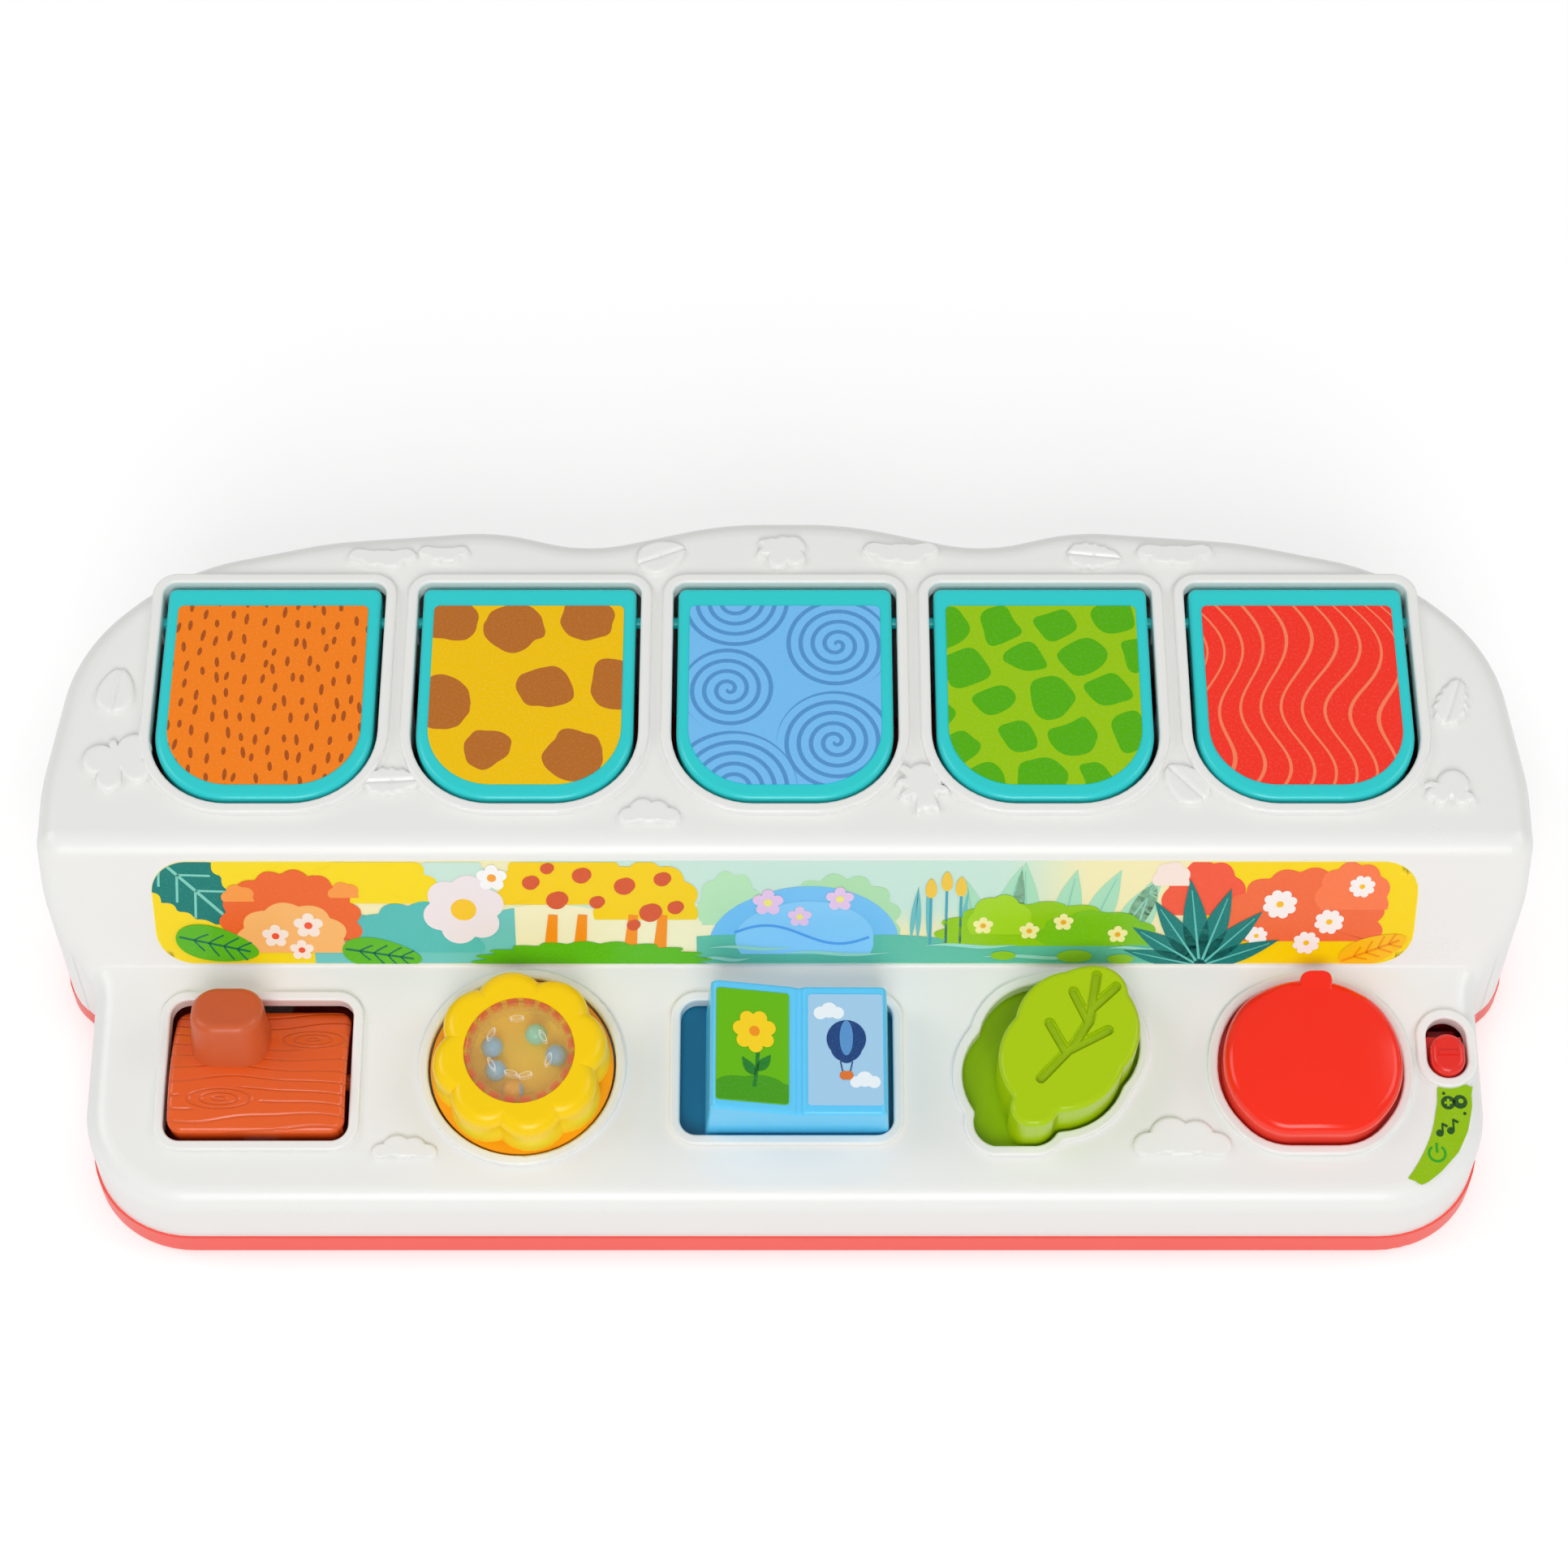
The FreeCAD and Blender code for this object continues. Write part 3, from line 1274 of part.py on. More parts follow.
def apple_button():
    """Domed apple cap with a stop flange, a small leaf and the plunger that drives the latch."""
    tall = size("apple_tall")
    cap = slab(apple_outline(), SKIRT_LEVEL, tall)
    cap = cap.common(Part.makeSphere(90.0, Vector(0, 0, tall - 90.0)))
    brow = [edge for edge in cap.Edges if edge.BoundBox.ZMin > 3]
    cap = cap.makeFillet(3.0, brow)
    flange = slab(apple_outline(1.8), SKIRT_LEVEL, STOP_LEVEL)
    hollow = slab(apple_outline(-BUTTON_WALL), SKIRT_LEVEL - 1, tall - 5.0)
    plunger = rod(PLUNGER_RADIUS, (0, 0, -APPLE_TIP_DEEP - 6), (0, 0, tall - 4.0))
    to_deck = deck_frame("front").inverse()
    run = to_deck.Rotation.multVec(APPLE_RUN)
    tip = to_deck.multVec(apple_tip_world - Vector(bay_x("apple"), 0, 0))
    ahead, behind = tip + run * 30, tip - run * 30
    far = Vector(0, run.z, -run.y) * 40
    below = side_prism([(p.y, p.z) for p in (behind, ahead, ahead - far, behind - far)], (-10, 10))
    foot = box((-10, 10), (-90, 10), (-40, PLUNGER_FOOT))
    foot.Placement = to_deck
    leaf = side_prism([(15.5, 4.8), (20.6, 5.6, 0.6), (20.6, 7.4, 0.6), (15.5, 6.8)], (-1.5, 4.5))
    return joined([cap.fuse(flange).cut(hollow), plunger.cut([below, foot]), leaf])


def button_bridge():
    """Bridge under the front deck that guides the plunger and seats its spring."""
    front, back = -24.6, 24.8
    plate = box((-7, 7), (front, back), (BRIDGE_LEVEL - 1.8, BRIDGE_LEVEL))
    legs = [box((-7, 7), (front, front + 2.4), (BRIDGE_LEVEL, -size("wall"))),
            box((-7, 7), (back - 2.4, back), (BRIDGE_LEVEL, -size("wall")))]
    bore = rod(PLUNGER_RADIUS + size("pin_fit"), (0, 0, -20), (0, 0, 0))
    return joined([plate] + legs).cut(bore)


def button_spring():
    """Close-wound coil between the bridge and the cap's ceiling: a turned sleeve with a crest per coil."""
    inside, outside = PLUNGER_RADIUS + 0.6, PLUNGER_RADIUS + 1.3
    low, high = BRIDGE_LEVEL, size("apple_tall") - 5.0
    pitch = (high - low) / SPRING_COILS

    def point(radius, level):
        return Vector(radius, 0, level)

    levels = [low + pitch * coil for coil in range(SPRING_COILS + 1)]
    edges = [Part.Arc(point(outside, z0), point(outside + 0.6, (z0 + z1) / 2), point(outside, z1)).toShape()
             for z0, z1 in zip(levels, levels[1:])]
    rest = [point(outside, high), point(inside, high), point(inside, low), point(outside, low)]
    edges += [Part.LineSegment(p, q).toShape() for p, q in zip(rest, rest[1:])]
    return Part.Face(Part.Wire(edges)).revolve(Vector(0, 0, 0), Vector(0, 0, 1), 360)


moulded("apple_button", apple_button(), "front", BAYS["apple"])
moulded("button_bridge", button_bridge(), "front", BAYS["apple"])
moulded("button_spring", button_spring(), "front", BAYS["apple"])

# ---------------------------------------------------------------- mode switch

FLANGE_TOP = -size("wall") - 2 * size("play")
FLANGE_THICK = 1.2


def switch_knob():
    """Oval thumb piece with a grip ridge, on a stem down to the slide switch."""
    x = size("switch_side")
    oval = slab(rectangle(SWITCH_WIDE, SWITCH_LONG, SWITCH_WIDE / 2 - 0.02, (x, SWITCH_Y)), -1.6, 3.4)
    oval = rounded_edges(oval, 1.6, at_height(3.4))
    ridge = box((x - 2.4, x + 2.4), (SWITCH_Y - 0.5, SWITCH_Y + 0.5), (2.5, 3.9))
    flange_low = FLANGE_TOP - FLANGE_THICK
    flange = box((x - 6.4, x + 4.4), (SWITCH_Y - 6.2, SWITCH_Y + 6.2), (flange_low, FLANGE_TOP))
    neck = box((x - 3.0, x + 3.0), (SWITCH_Y - 3.2, SWITCH_Y + 3.2), (FLANGE_TOP, -1.6))
    stem = box((x - 1.2, x + 1.2), (SWITCH_Y - 1.2, SWITCH_Y + 1.2), (-6.6, flange_low))
    return joined([oval, ridge, flange, neck, stem])


def slide_switch():
    """Metal-cased slide switch on its small board."""
    x = size("switch_side")
    middle = SWITCH_Y + size("switch_travel") / 2
    board = box((x - 7, x + 5), (middle - 12, middle + 12), (-12.2, -10.6))
    can = box((x - 3.2, x + 3.2), (middle - 6.5, middle + 6.5), (-10.6, -5.4))
    slot = box((x - 1.6, x + 1.6), (middle - 4.6, middle + 4.6), (-8.0, -5.0))
    posts = [rod(2.0, (x, middle + side * 10.2, -10.6), (x, middle + side * 10.2, -size("wall")))
             for side in (-1, 1)]
    return joined([board, can.cut(slot)] + posts)


def mode_label():
    """Curved printed label in front of the switch."""
    x = size("switch_side")
    outer = [Vector(x - 2.3, -4.9, 0), Vector(x - 5.6, -18.0, 0), Vector(x - 11.2, -27.4, 0)]
    inner = [Vector(x - 8.2, -28.6, 0), Vector(x + 0.8, -17.4, 0), Vector(x + 5.6, -4.9, 0)]
    wire = Part.Wire([
        Part.Arc(*outer).toShape(),
        Part.LineSegment(outer[-1], inner[0]).toShape(),
        Part.Arc(*inner).toShape(),
        Part.LineSegment(inner[-1], outer[0]).toShape(),
    ])
    ring = slab(switch_opening(size("ring_wide") + 0.2), -1, 1)
    return slab(wire, 0, size("label_thick")).cut(ring)


moulded("switch_knob", switch_knob(), "front", BAYS["apple"])
moulded("slide_switch", slide_switch(), "front", BAYS["apple"])
moulded("mode_label", mode_label(), "front", BAYS["apple"])

# ---------------------------------------------------------------- fascia label

FASCIA_LABEL = slab(rectangle(4 * size("bay_pitch") + 51, size("fascia_long") - 5.0, 9.0,
                              (0, size("fascia_long") / 2 - 1.7)), 0, size("label_thick"))
moulded("fascia_label", FASCIA_LABEL, "fascia")

# ---------------------------------------------------------------- battery box and electrics


def battery_door():
    """Door in the floor with a tongue at one end and a screw tab at the other."""
    half, front, back, _ = battery_bay()
    low = size("floor_low")
    plate = box((-half + 0.3, half - 0.3), (front + 0.3, back - 0.3), (low, low + 1.6))
    screw_y = back - BATTERY_SCREW_IN
    shank = rod(SCREW_HOLE + 0.3, (0, screw_y, 0), (0, screw_y, low + 3))
    head = rod(SCREW_HEAD + 0.3, (0, screw_y, 0), (0, screw_y, low + 0.8))
    return plate.cut([shank, head])


def battery_cells():
    """Three AA cells side by side."""
    radius = size("cell_radius") - 0.1
    half, front, back, _ = battery_bay()
    cells = []
    for place in (-1, 0, 1):
        x = place * (2 * size("cell_radius") + 0.2)
        z = size("floor_low") + 1.8 + radius
        start, end = front + 1.6, front + 1.6 + size("cell_long") - 1.2
        can = rod(radius, (x, start, z), (x, end, z))
        button = rod(2.6, (x, end, z), (x, end + 1.2, z))
        cells.append(can.fuse(button))
    return Part.makeCompound(cells)


def battery_contacts():
    """Contact plates at both ends of the cells."""
    half, front, back, roof = battery_bay()
    z = (size("floor_low") + 6.2, roof - 1.5)
    far = front + 1.6 + size("cell_long") + 0.1
    plates = [box((-half + 1, half - 1), (front, front + 0.6), z)]
    for place in (-1, 0, 1):
        x = place * (2 * size("cell_radius") + 0.2)
        plates.append(box((x - 5, x + 5), (far, far + 0.6), z))
        plates.append(box((x - 3, x + 3), (far + 0.6, back), (z[1] - 2, z[1])))
    return Part.makeCompound(plates)


def speaker():
    """Speaker on the floor over the sound holes."""
    x, y = -size("bay_pitch"), SPEAKER_Y
    floor_top = size("floor_low") + size("floor_thick")
    frame = rod(20.0, (x, y, floor_top), (x, y, floor_top + 2.2))
    cone = Part.makeCone(18.0, 9.0, 4.6, Vector(x, y, floor_top + 2.2))
    magnet = rod(10.0, (x, y, floor_top + 6.8), (x, y, floor_top + 12.0))
    well = rod(17.0, (x, y, floor_top - 1), (x, y, floor_top + 1.2))
    return joined([frame, cone, magnet]).cut(well)


def circuit_board():
    """Main board on four floor posts, with its chip and capacitor."""
    x, y = size("bay_pitch"), 30.0
    floor_top = size("floor_low") + size("floor_thick")
    board = box((x - 22, x + 22), (y - 17, y + 17), (floor_top + 4, floor_top + 5.6))
    chip = box((x - 6, x + 6), (y - 6, y + 6), (floor_top + 5.6, floor_top + 7.6))
    can = rod(3.2, (x + 14, y + 8, floor_top + 5.6), (x + 14, y + 8, floor_top + 13))
    posts = [rod(2.4, (x + u * 19, y + v * 14, floor_top), (x + u * 19, y + v * 14, floor_top + 4))
             for u in (-1, 1) for v in (-1, 1)]
    return joined([board, chip, can] + posts)


def screw(x, y, low, high, thick):
    """Pan-head screw seen from below: the head first, then the shank."""
    neck = low + thick
    shank = rod(SCREW_HOLE - 0.02, (x, y, neck), (x, y, high))
    return rod(SCREW_HEAD, (x, y, low), (x, y, neck)).fuse(shank)


def case_screws():
    floor_top = size("floor_low") + size("floor_thick")
    return Part.makeCompound([screw(x, y, floor_top - 1.8, size("seam_high") + 8, 1.8)
                              for x, y in screw_places()])


def battery_screw():
    _, _, back, _ = battery_bay()
    return screw(0, back - BATTERY_SCREW_IN, size("floor_low") - 0.6, size("floor_low") + 5.6, 1.4)


moulded("battery_door", battery_door())
moulded("battery_cells", battery_cells())
moulded("battery_contacts", battery_contacts())
moulded("speaker", speaker())
moulded("circuit_board", circuit_board())
moulded("case_screws", case_screws())
moulded("battery_screw", battery_screw())


def foot_pads():
    """Four rubber pads under the corners of the floor."""
    side = 2 * size("bay_pitch") + 20
    pads = []
    for x in (-side, side):
        for y in (number(FRONT_Y) - 14, size("hinge_line") - 16):
            pads.append(rod(5.0, (x, y, 0), (x, y, size("floor_low"))))
    return Part.makeCompound(pads)


moulded("foot_pads", foot_pads())

# ---------------------------------------------------------------- check and export

DOC.recompute()
problems = [thing.Label for thing in DOC.Objects if {"Invalid", "Error"} & set(thing.State)]
problems += [part.Label for part in SUBPARTS if part.Shape.isNull() or not part.Shape.isValid()]
if problems:
    raise RuntimeError(f"not sound: {problems}")
os.makedirs("parts", exist_ok=True)
for part in SUBPARTS:
    part.Shape.exportStep(f"parts/{part.Label}.step")
print(len(SUBPARTS), "sub-parts written")
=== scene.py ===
import math
from functools import partialmethod

import bpy
import numpy as np
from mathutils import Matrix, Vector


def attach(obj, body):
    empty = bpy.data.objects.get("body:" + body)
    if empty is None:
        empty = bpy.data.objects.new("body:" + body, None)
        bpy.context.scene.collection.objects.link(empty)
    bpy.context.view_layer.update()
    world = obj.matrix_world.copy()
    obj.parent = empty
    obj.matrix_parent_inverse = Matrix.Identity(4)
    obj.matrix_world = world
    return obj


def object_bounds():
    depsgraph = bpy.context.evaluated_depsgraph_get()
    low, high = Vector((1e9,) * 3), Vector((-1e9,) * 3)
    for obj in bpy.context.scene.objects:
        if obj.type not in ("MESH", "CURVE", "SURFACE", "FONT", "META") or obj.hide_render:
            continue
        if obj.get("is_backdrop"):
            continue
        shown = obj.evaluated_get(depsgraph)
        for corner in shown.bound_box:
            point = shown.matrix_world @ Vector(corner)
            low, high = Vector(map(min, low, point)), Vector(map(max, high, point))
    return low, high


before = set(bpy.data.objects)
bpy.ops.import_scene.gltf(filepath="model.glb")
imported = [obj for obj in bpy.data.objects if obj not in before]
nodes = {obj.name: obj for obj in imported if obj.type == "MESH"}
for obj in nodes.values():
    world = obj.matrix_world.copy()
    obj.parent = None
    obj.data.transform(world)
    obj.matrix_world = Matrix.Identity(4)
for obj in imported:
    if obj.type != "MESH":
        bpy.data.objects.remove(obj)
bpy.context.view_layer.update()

# ------------------------------------ room
# A pale seamless floor under soft boxes, with the camera high in front of the toy.
# The floor answers camera and mirror rays with full white, and keeps the toy's soft shadow.


def add_object(name, data):
    """An object with its data, linked to the scene."""
    made = bpy.data.objects.new(name, data)
    bpy.context.scene.collection.objects.link(made)
    return made


camera = bpy.data.cameras.new("camera")
camera.lens = 82.06
camera.sensor_width = 36.0
camera.clip_end = 20.0
viewer = add_object("camera", camera)
viewer.location = (-0.000215, -0.46591, 0.766516)
viewer.rotation_euler = (math.radians(34.0), 0.0, 0.0)
bpy.context.scene.camera = viewer
bpy.context.scene.view_settings.view_transform = "Standard"


def soft_box(name, place, aim, width, watts):
    """A square area lamp at a place, turned to an aim point."""
    lamp = bpy.data.lights.new(name, "AREA")
    lamp.shape = "SQUARE"
    lamp.size = width
    lamp.energy = watts
    holder = add_object(name, lamp)
    holder.location = place
    way = np.subtract(aim, place)
    flat = math.hypot(way[0], way[1])
    turn = math.atan2(way[1], way[0]) - math.pi / 2
    holder.rotation_euler = (math.atan2(flat, -way[2]), 0.0, turn)


soft_box("soft_box_left", (-1.60, 0.20, 1.55), (0.0, 0.0, 0.03), 0.95, 7.8)
soft_box("soft_box_right", (1.60, 0.12, 1.50), (0.0, 0.0, 0.03), 0.95, 7.0)
soft_box("soft_box_front", (0.0, -2.00, 1.55), (0.0, -0.02, 0.04), 1.25, 27.0)


def rgb(red, green, blue):
    """Colour from 0 to 255 on screen to the linear values that shaders use."""
    screen = np.array((red, green, blue)) / 255.0
    linear = np.where(screen <= 0.04045, screen / 12.92, ((screen + 0.055) / 1.055) ** 2.4)
    return (*linear.tolist(), 1.0)


class Number:
    """A value on a surface: Python's operators on it add the Math nodes that work it out."""

    def __init__(self, tree, socket):
        self.tree = tree
        self.socket = socket

    def maths(self, operation, *others):
        node = self.tree.nodes.new("ShaderNodeMath")
        node.operation = operation
        for entry, value in zip(node.inputs, (self, *others)):
            feed(self.tree, value, entry)
        return Number(self.tree, node.outputs[0])

    __add__ = __radd__ = partialmethod(maths, "ADD")
    __sub__ = partialmethod(maths, "SUBTRACT")
    __mul__ = __rmul__ = partialmethod(maths, "MULTIPLY")
    __truediv__ = partialmethod(maths, "DIVIDE")
    __pow__ = partialmethod(maths, "POWER")
    __mod__ = partialmethod(maths, "FLOORED_MODULO")
    __abs__ = partialmethod(maths, "ABSOLUTE")
    floor = partialmethod(maths, "FLOOR")
    sine = partialmethod(maths, "SINE")
    low = partialmethod(maths, "MINIMUM")
    high = partialmethod(maths, "MAXIMUM")

    def __rsub__(self, other):
        return self.maths("MULTIPLY_ADD", -1.0, other)

    def angle(self, across):
        """The turn of a point from the across axis, as a share of a full turn."""
        return self.maths("ARCTAN2", across) / (2 * math.pi)

    def inside(self, edge, blur):
        """1 where the value is under an edge, 0 above it, with a blurred step between."""
        node = self.tree.nodes.new("ShaderNodeMapRange")
        node.interpolation_type = "SMOOTHSTEP"
        for entry, value in zip(node.inputs, (self, edge - blur, edge + blur, 1.0, 0.0)):
            feed(self.tree, value, entry)
        return Number(self.tree, node.outputs[0])


def feed(tree, value, entry):
    """Links a value to a node's entry, or sets it there when it is plain."""
    if isinstance(value, Number):
        tree.links.new(value.socket, entry)
    else:
        entry.default_value = value


BAY_PITCH = 62.0  # millimetres from one lid or control to the next


class Finish:
    """A material. put() adds a node, blend() mixes two colours, and feed() drives the shader."""

    def __init__(self, name, colour, roughness, specular=0.5, metallic=0.0):
        self.material = bpy.data.materials.new(name)
        self.material.use_nodes = True
        self.tree = self.material.node_tree
        self.shader = self.tree.nodes["Principled BSDF"]
        for entry, value in (("Base Color", colour), ("Roughness", roughness),
                             ("Specular IOR Level", specular), ("Metallic", metallic)):
            self.shader.inputs[entry].default_value = value

    def put(self, kind, settings, entries, out=0):
        node = self.tree.nodes.new("ShaderNode" + kind)
        for key, value in settings.items():
            setattr(node, key, value)
        for key, value in entries.items():
            feed(self.tree, value, node.inputs[key])
        return Number(self.tree, node.outputs[out])

    def place(self):
        """Where a point of the object is, along X, Y and Z in millimetres."""
        spot = self.put("TexCoord", {}, {}, "Object")
        split = self.tree.nodes.new("ShaderNodeSeparateXYZ")
        self.tree.links.new(spot.socket, split.inputs[0])
        return [Number(self.tree, out) * 1000.0 for out in split.outputs]

    def vector(self, x, y, z=0.0):
        return self.put("CombineXYZ", {}, {"X": x, "Y": y, "Z": z})

    def noise(self, where, scale, detail=2.0):
        return self.put("TexNoise", {}, {"Vector": where, "Scale": scale, "Detail": detail}, "Fac")

    def blend(self, mask, under, over):
        return self.put("Mix", {"data_type": "RGBA"}, {0: mask, 6: under, 7: over}, 2)

    def feed(self, **values):
        for entry, value in values.items():
            feed(self.tree, value, self.shader.inputs[entry.replace("_", " ")])
        return self

    def bump(self, height, depth, strength=1.0):
        normal = self.put("Bump", {}, {"Height": height, "Distance": depth, "Strength": strength})
        return self.feed(Normal=normal)

    def slope(self, y, z, tilt, bay=0):
        """Where a point is across, up and off a sloping deck: the deck's place taken off,
        then turned back. Across counts from the middle of a bay, by its number."""
        turn = math.radians(tilt)
        across, depth, height = self.place()
        if bay:
            across = across - BAY_PITCH * bay
        up = (depth - y) * math.cos(turn) + (height - z) * math.sin(turn)
        off = (height - z) * math.cos(turn) - (depth - y) * math.sin(turn)
        return across, up, off

    def random(self, column, row, seed):
        """A number from 0 to 1 that is the same all over one cell of a pattern."""
        cell = self.vector(column, row, seed)
        return self.put("TexWhiteNoise", {"noise_dimensions": "3D"}, {"Vector": cell}, "Value")

    def dress(self, *names):
        """Puts the finish on CAD nodes."""
        for name in names:
            nodes[name].data.materials.clear()
            nodes[name].data.materials.append(self.material)
        return self


floor_paper = Finish("floor_paper", (0.80, 0.80, 0.80, 1.0), 0.9, specular=0.1)
seen = floor_paper.put("LightPath", {}, {}, "Is Camera Ray")
mirrored = floor_paper.put("LightPath", {}, {}, "Is Glossy Ray")
through = floor_paper.put("LightPath", {}, {}, "Is Transmission Ray")
paper_grain = floor_paper.noise(floor_paper.put("TexCoord", {}, {}, "Object"), 60.0)
floor_paper.feed(Roughness=0.85 + paper_grain * 0.1)
shown = seen.high(mirrored).high(through)
glow = floor_paper.blend(shown, (0.0, 0.0, 0.0, 1.0), (0.36, 0.36, 0.36, 1.0))
floor_paper.feed(Emission_Color=glow)
floor_paper.shader.inputs["Emission Strength"].default_value = 1.0
sheet = bpy.data.meshes.new("floor")
sheet_corners = [(x, y, -0.0001) for x, y in ((-4, -4), (4, -4), (4, 4), (-4, 4))]
sheet.from_pydata(sheet_corners, [], [(0, 1, 2, 3)])
floor = add_object("floor", sheet)
floor.data.materials.append(floor_paper.material)
floor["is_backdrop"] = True

sky = bpy.data.worlds.new("studio")
bpy.context.scene.world = sky
sky.use_nodes = True
backdrop = sky.node_tree.nodes["Background"]
backdrop.inputs["Color"].default_value = (1.0, 1.0, 1.0, 1.0)
backdrop.inputs["Strength"].default_value = 0.42

# ------------------------------------ casing
# One large moulding in warm white ABS with a lightly polished face.
# It is shelled, stepped, and pierced for five lids and five controls.


def moulded(name, colour, roughness=0.34, grain=1.0, shade=0.93, **fixed):
    """Moulded plastic: faint clouding of the colour, a fine spark texture and uneven gloss."""
    finish = Finish(name, colour, roughness, **fixed)
    x, y, z = finish.place()
    where = finish.vector(x, y, z)
    cloud = finish.noise(where, 0.035, 3.0)
    fine = finish.noise(where, 3.2, 1.0)
    deep = tuple(c * shade for c in colour[:3]) + (1.0,)
    finish.tint = finish.blend((cloud - 0.35) * 0.5, colour, deep)
    gloss = roughness + (cloud - 0.5) * 0.10 + (fine - 0.5) * 0.06
    finish.feed(Base_Color=finish.tint, Roughness=gloss)
    finish.fine = fine
    return finish.bump(fine, 0.00002 * grain)


casing_white = moulded("casing_white", rgb(243, 243, 240), 0.30, 0.6, 0.965)
casing_white.dress("top_casing")

# ------------------------------------ raised pictures
# Small leaves, clouds and insects stand proud of the decks between the openings.
# They are cut into the casing's mould, so they are its own plastic and have soft edges.

# each deck: depth and height of a point on it in millimetres, and its tilt in degrees
REAR_DECK = (60.3, 70.9, 4.7)
FRONT_DECK = (-49.432, 29.465, 10.0)


def stacked(*places):
    """Points from their places along each axis, which are arrays or plain numbers."""
    return np.stack(np.broadcast_arrays(*places), axis=-1)


def on_slope(y, z, tilt):
    """Maps points across, up and off a sloping deck to metres: turned by the tilt,
    then moved to the deck's place."""
    turn = math.radians(tilt)

    def place(across, up, off):
        depth = y + up * math.cos(turn) - off * math.sin(turn)
        height = z + up * math.sin(turn) + off * math.cos(turn)
        return stacked(across, depth, height) / 1000.0

    return place


def grid_faces(rows, columns, closed=False):
    """Quads between the rows and columns of a grid of points.
    A closed grid joins its last column to its first."""
    row = np.arange(rows - 1)[:, None] * columns
    column = np.arange(columns if closed else columns - 1)[None, :]
    after = (column + 1) % columns
    corners = [row + column, row + after, row + columns + after, row + columns + column]
    return np.stack(corners, axis=-1).reshape(-1, 4)


def make_piece(name, corners, faces, finish, body):
    """One smooth mesh object from corners in metres and faces, on a body and in a material slot."""
    mesh = bpy.data.meshes.new(name)
    mesh.from_pydata(corners.tolist(), [], faces)
    mesh.polygons.foreach_set("use_smooth", np.ones(len(mesh.polygons), dtype=bool))
    mesh.materials.append(finish.material)
    made = add_object(name, mesh)
    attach(made, body)
    return made


def full_turn(count):
    """Angles evenly round a full turn."""
    return np.linspace(0, 2 * np.pi, count, endpoint=False)


def discs_outline(discs, count=120):
    """Outline of overlapping discs, each given by its middle's two places and its radius.
    Along each ray from the origin it takes the furthest point that any disc reaches."""
    angle = full_turn(count)
    ray = stacked(np.cos(angle), np.sin(angle))
    discs = np.array(discs, dtype=float)
    middle, radius = discs[:, :2], discs[:, 2]
    along = ray @ middle.T
    room = radius ** 2 - (middle ** 2).sum(axis=1) + along ** 2
    reach = np.where(room > 0, along + np.sqrt(np.maximum(room, 0)), 0).max(axis=1)
    return ray * reach[:, None]


def leaf_outline(length, width, lobes=0):
    """Leaf outline about its middle: an ellipse that is fuller towards its heel.
    Lobes narrow it by the size of a sine along it."""
    turn = full_turn(120)
    along = np.cos(turn)
    wave = 1 - 0.16 * np.abs(np.sin(lobes * np.pi * along / 2))
    across = np.sin(turn) * (1 - 0.25 * along) * wave
    return stacked(along * length / 2, across * width / 2)


def turned(outline, degrees):
    """An outline turned about its middle."""
    turn = math.radians(degrees)
    cosine, sine = math.cos(turn), math.sin(turn)
    x, y = outline[:, 0], outline[:, 1]
    return stacked(x * cosine - y * sine, x * sine + y * cosine)


def raised(name, deck, middle, outline, high=1.3, edge=1.0, rib=None,
           finish=casing_white, body="case"):
    """Low cushion on a deck: rings of an outline shrink to a pole while the height climbs
    a quarter circle over the edge's width. A rib is a groove through the middle, given by
    its angle."""
    rings, sink, rib_half, rib_deep = 12, 0.4, 0.45, 0.45
    place = on_slope(*deck)
    share = 1 - np.linspace(0, 1, rings + 1)[:, None] ** 1.6
    spread = np.hypot(outline[:, 0], outline[:, 1])[None, :]
    inward = (1 - share) * spread
    climb = np.sqrt(1 - np.clip(1 - inward / edge, 0, 1) ** 2)
    x, y = share * outline[None, :, 0], share * outline[None, :, 1]
    off = high * climb
    if rib is not None:
        turn = math.radians(rib)
        aside = x * math.sin(turn) - y * math.cos(turn)
        off = off - rib_deep * high * np.exp(-(aside / rib_half) ** 2) * climb
    columns = len(outline)
    crown = place(middle[0] + x[:rings], middle[1] + y[:rings], off[:rings]).reshape(-1, 3)
    foot = place(middle[0] + outline[:, 0], middle[1] + outline[:, 1], -sink)
    poles = np.array([place(*middle, float(off[-1, 0])), place(*middle, -sink)])
    faces = grid_faces(rings + 1, columns, True).tolist()
    step = np.arange(columns)
    after = (step + 1) % columns
    last, top, below = rings * columns, (rings + 1) * columns, (rings + 1) * columns + 1
    faces += stacked(last + step, last + after, top).tolist()
    faces += stacked(after, step, below).tolist()
    make_piece(name, np.vstack([foot, crown, poles]), faces, finish, body)


def cloud_outline(wide, high):
    """A cloud: overlapping discs cut off flat under their middles, then stretched to its size."""
    puffs = [(-3.5, 0.0, 1.4), (-1.1, 1.1, 2.1), (1.4, 0.9, 1.9), (3.6, 0.0, 1.35), (0, 0, 1.6)]
    outline = discs_outline(puffs)
    outline[:, 1] = np.maximum(outline[:, 1], -1.3)
    return outline * np.array((wide / 9.9, high / 4.5))


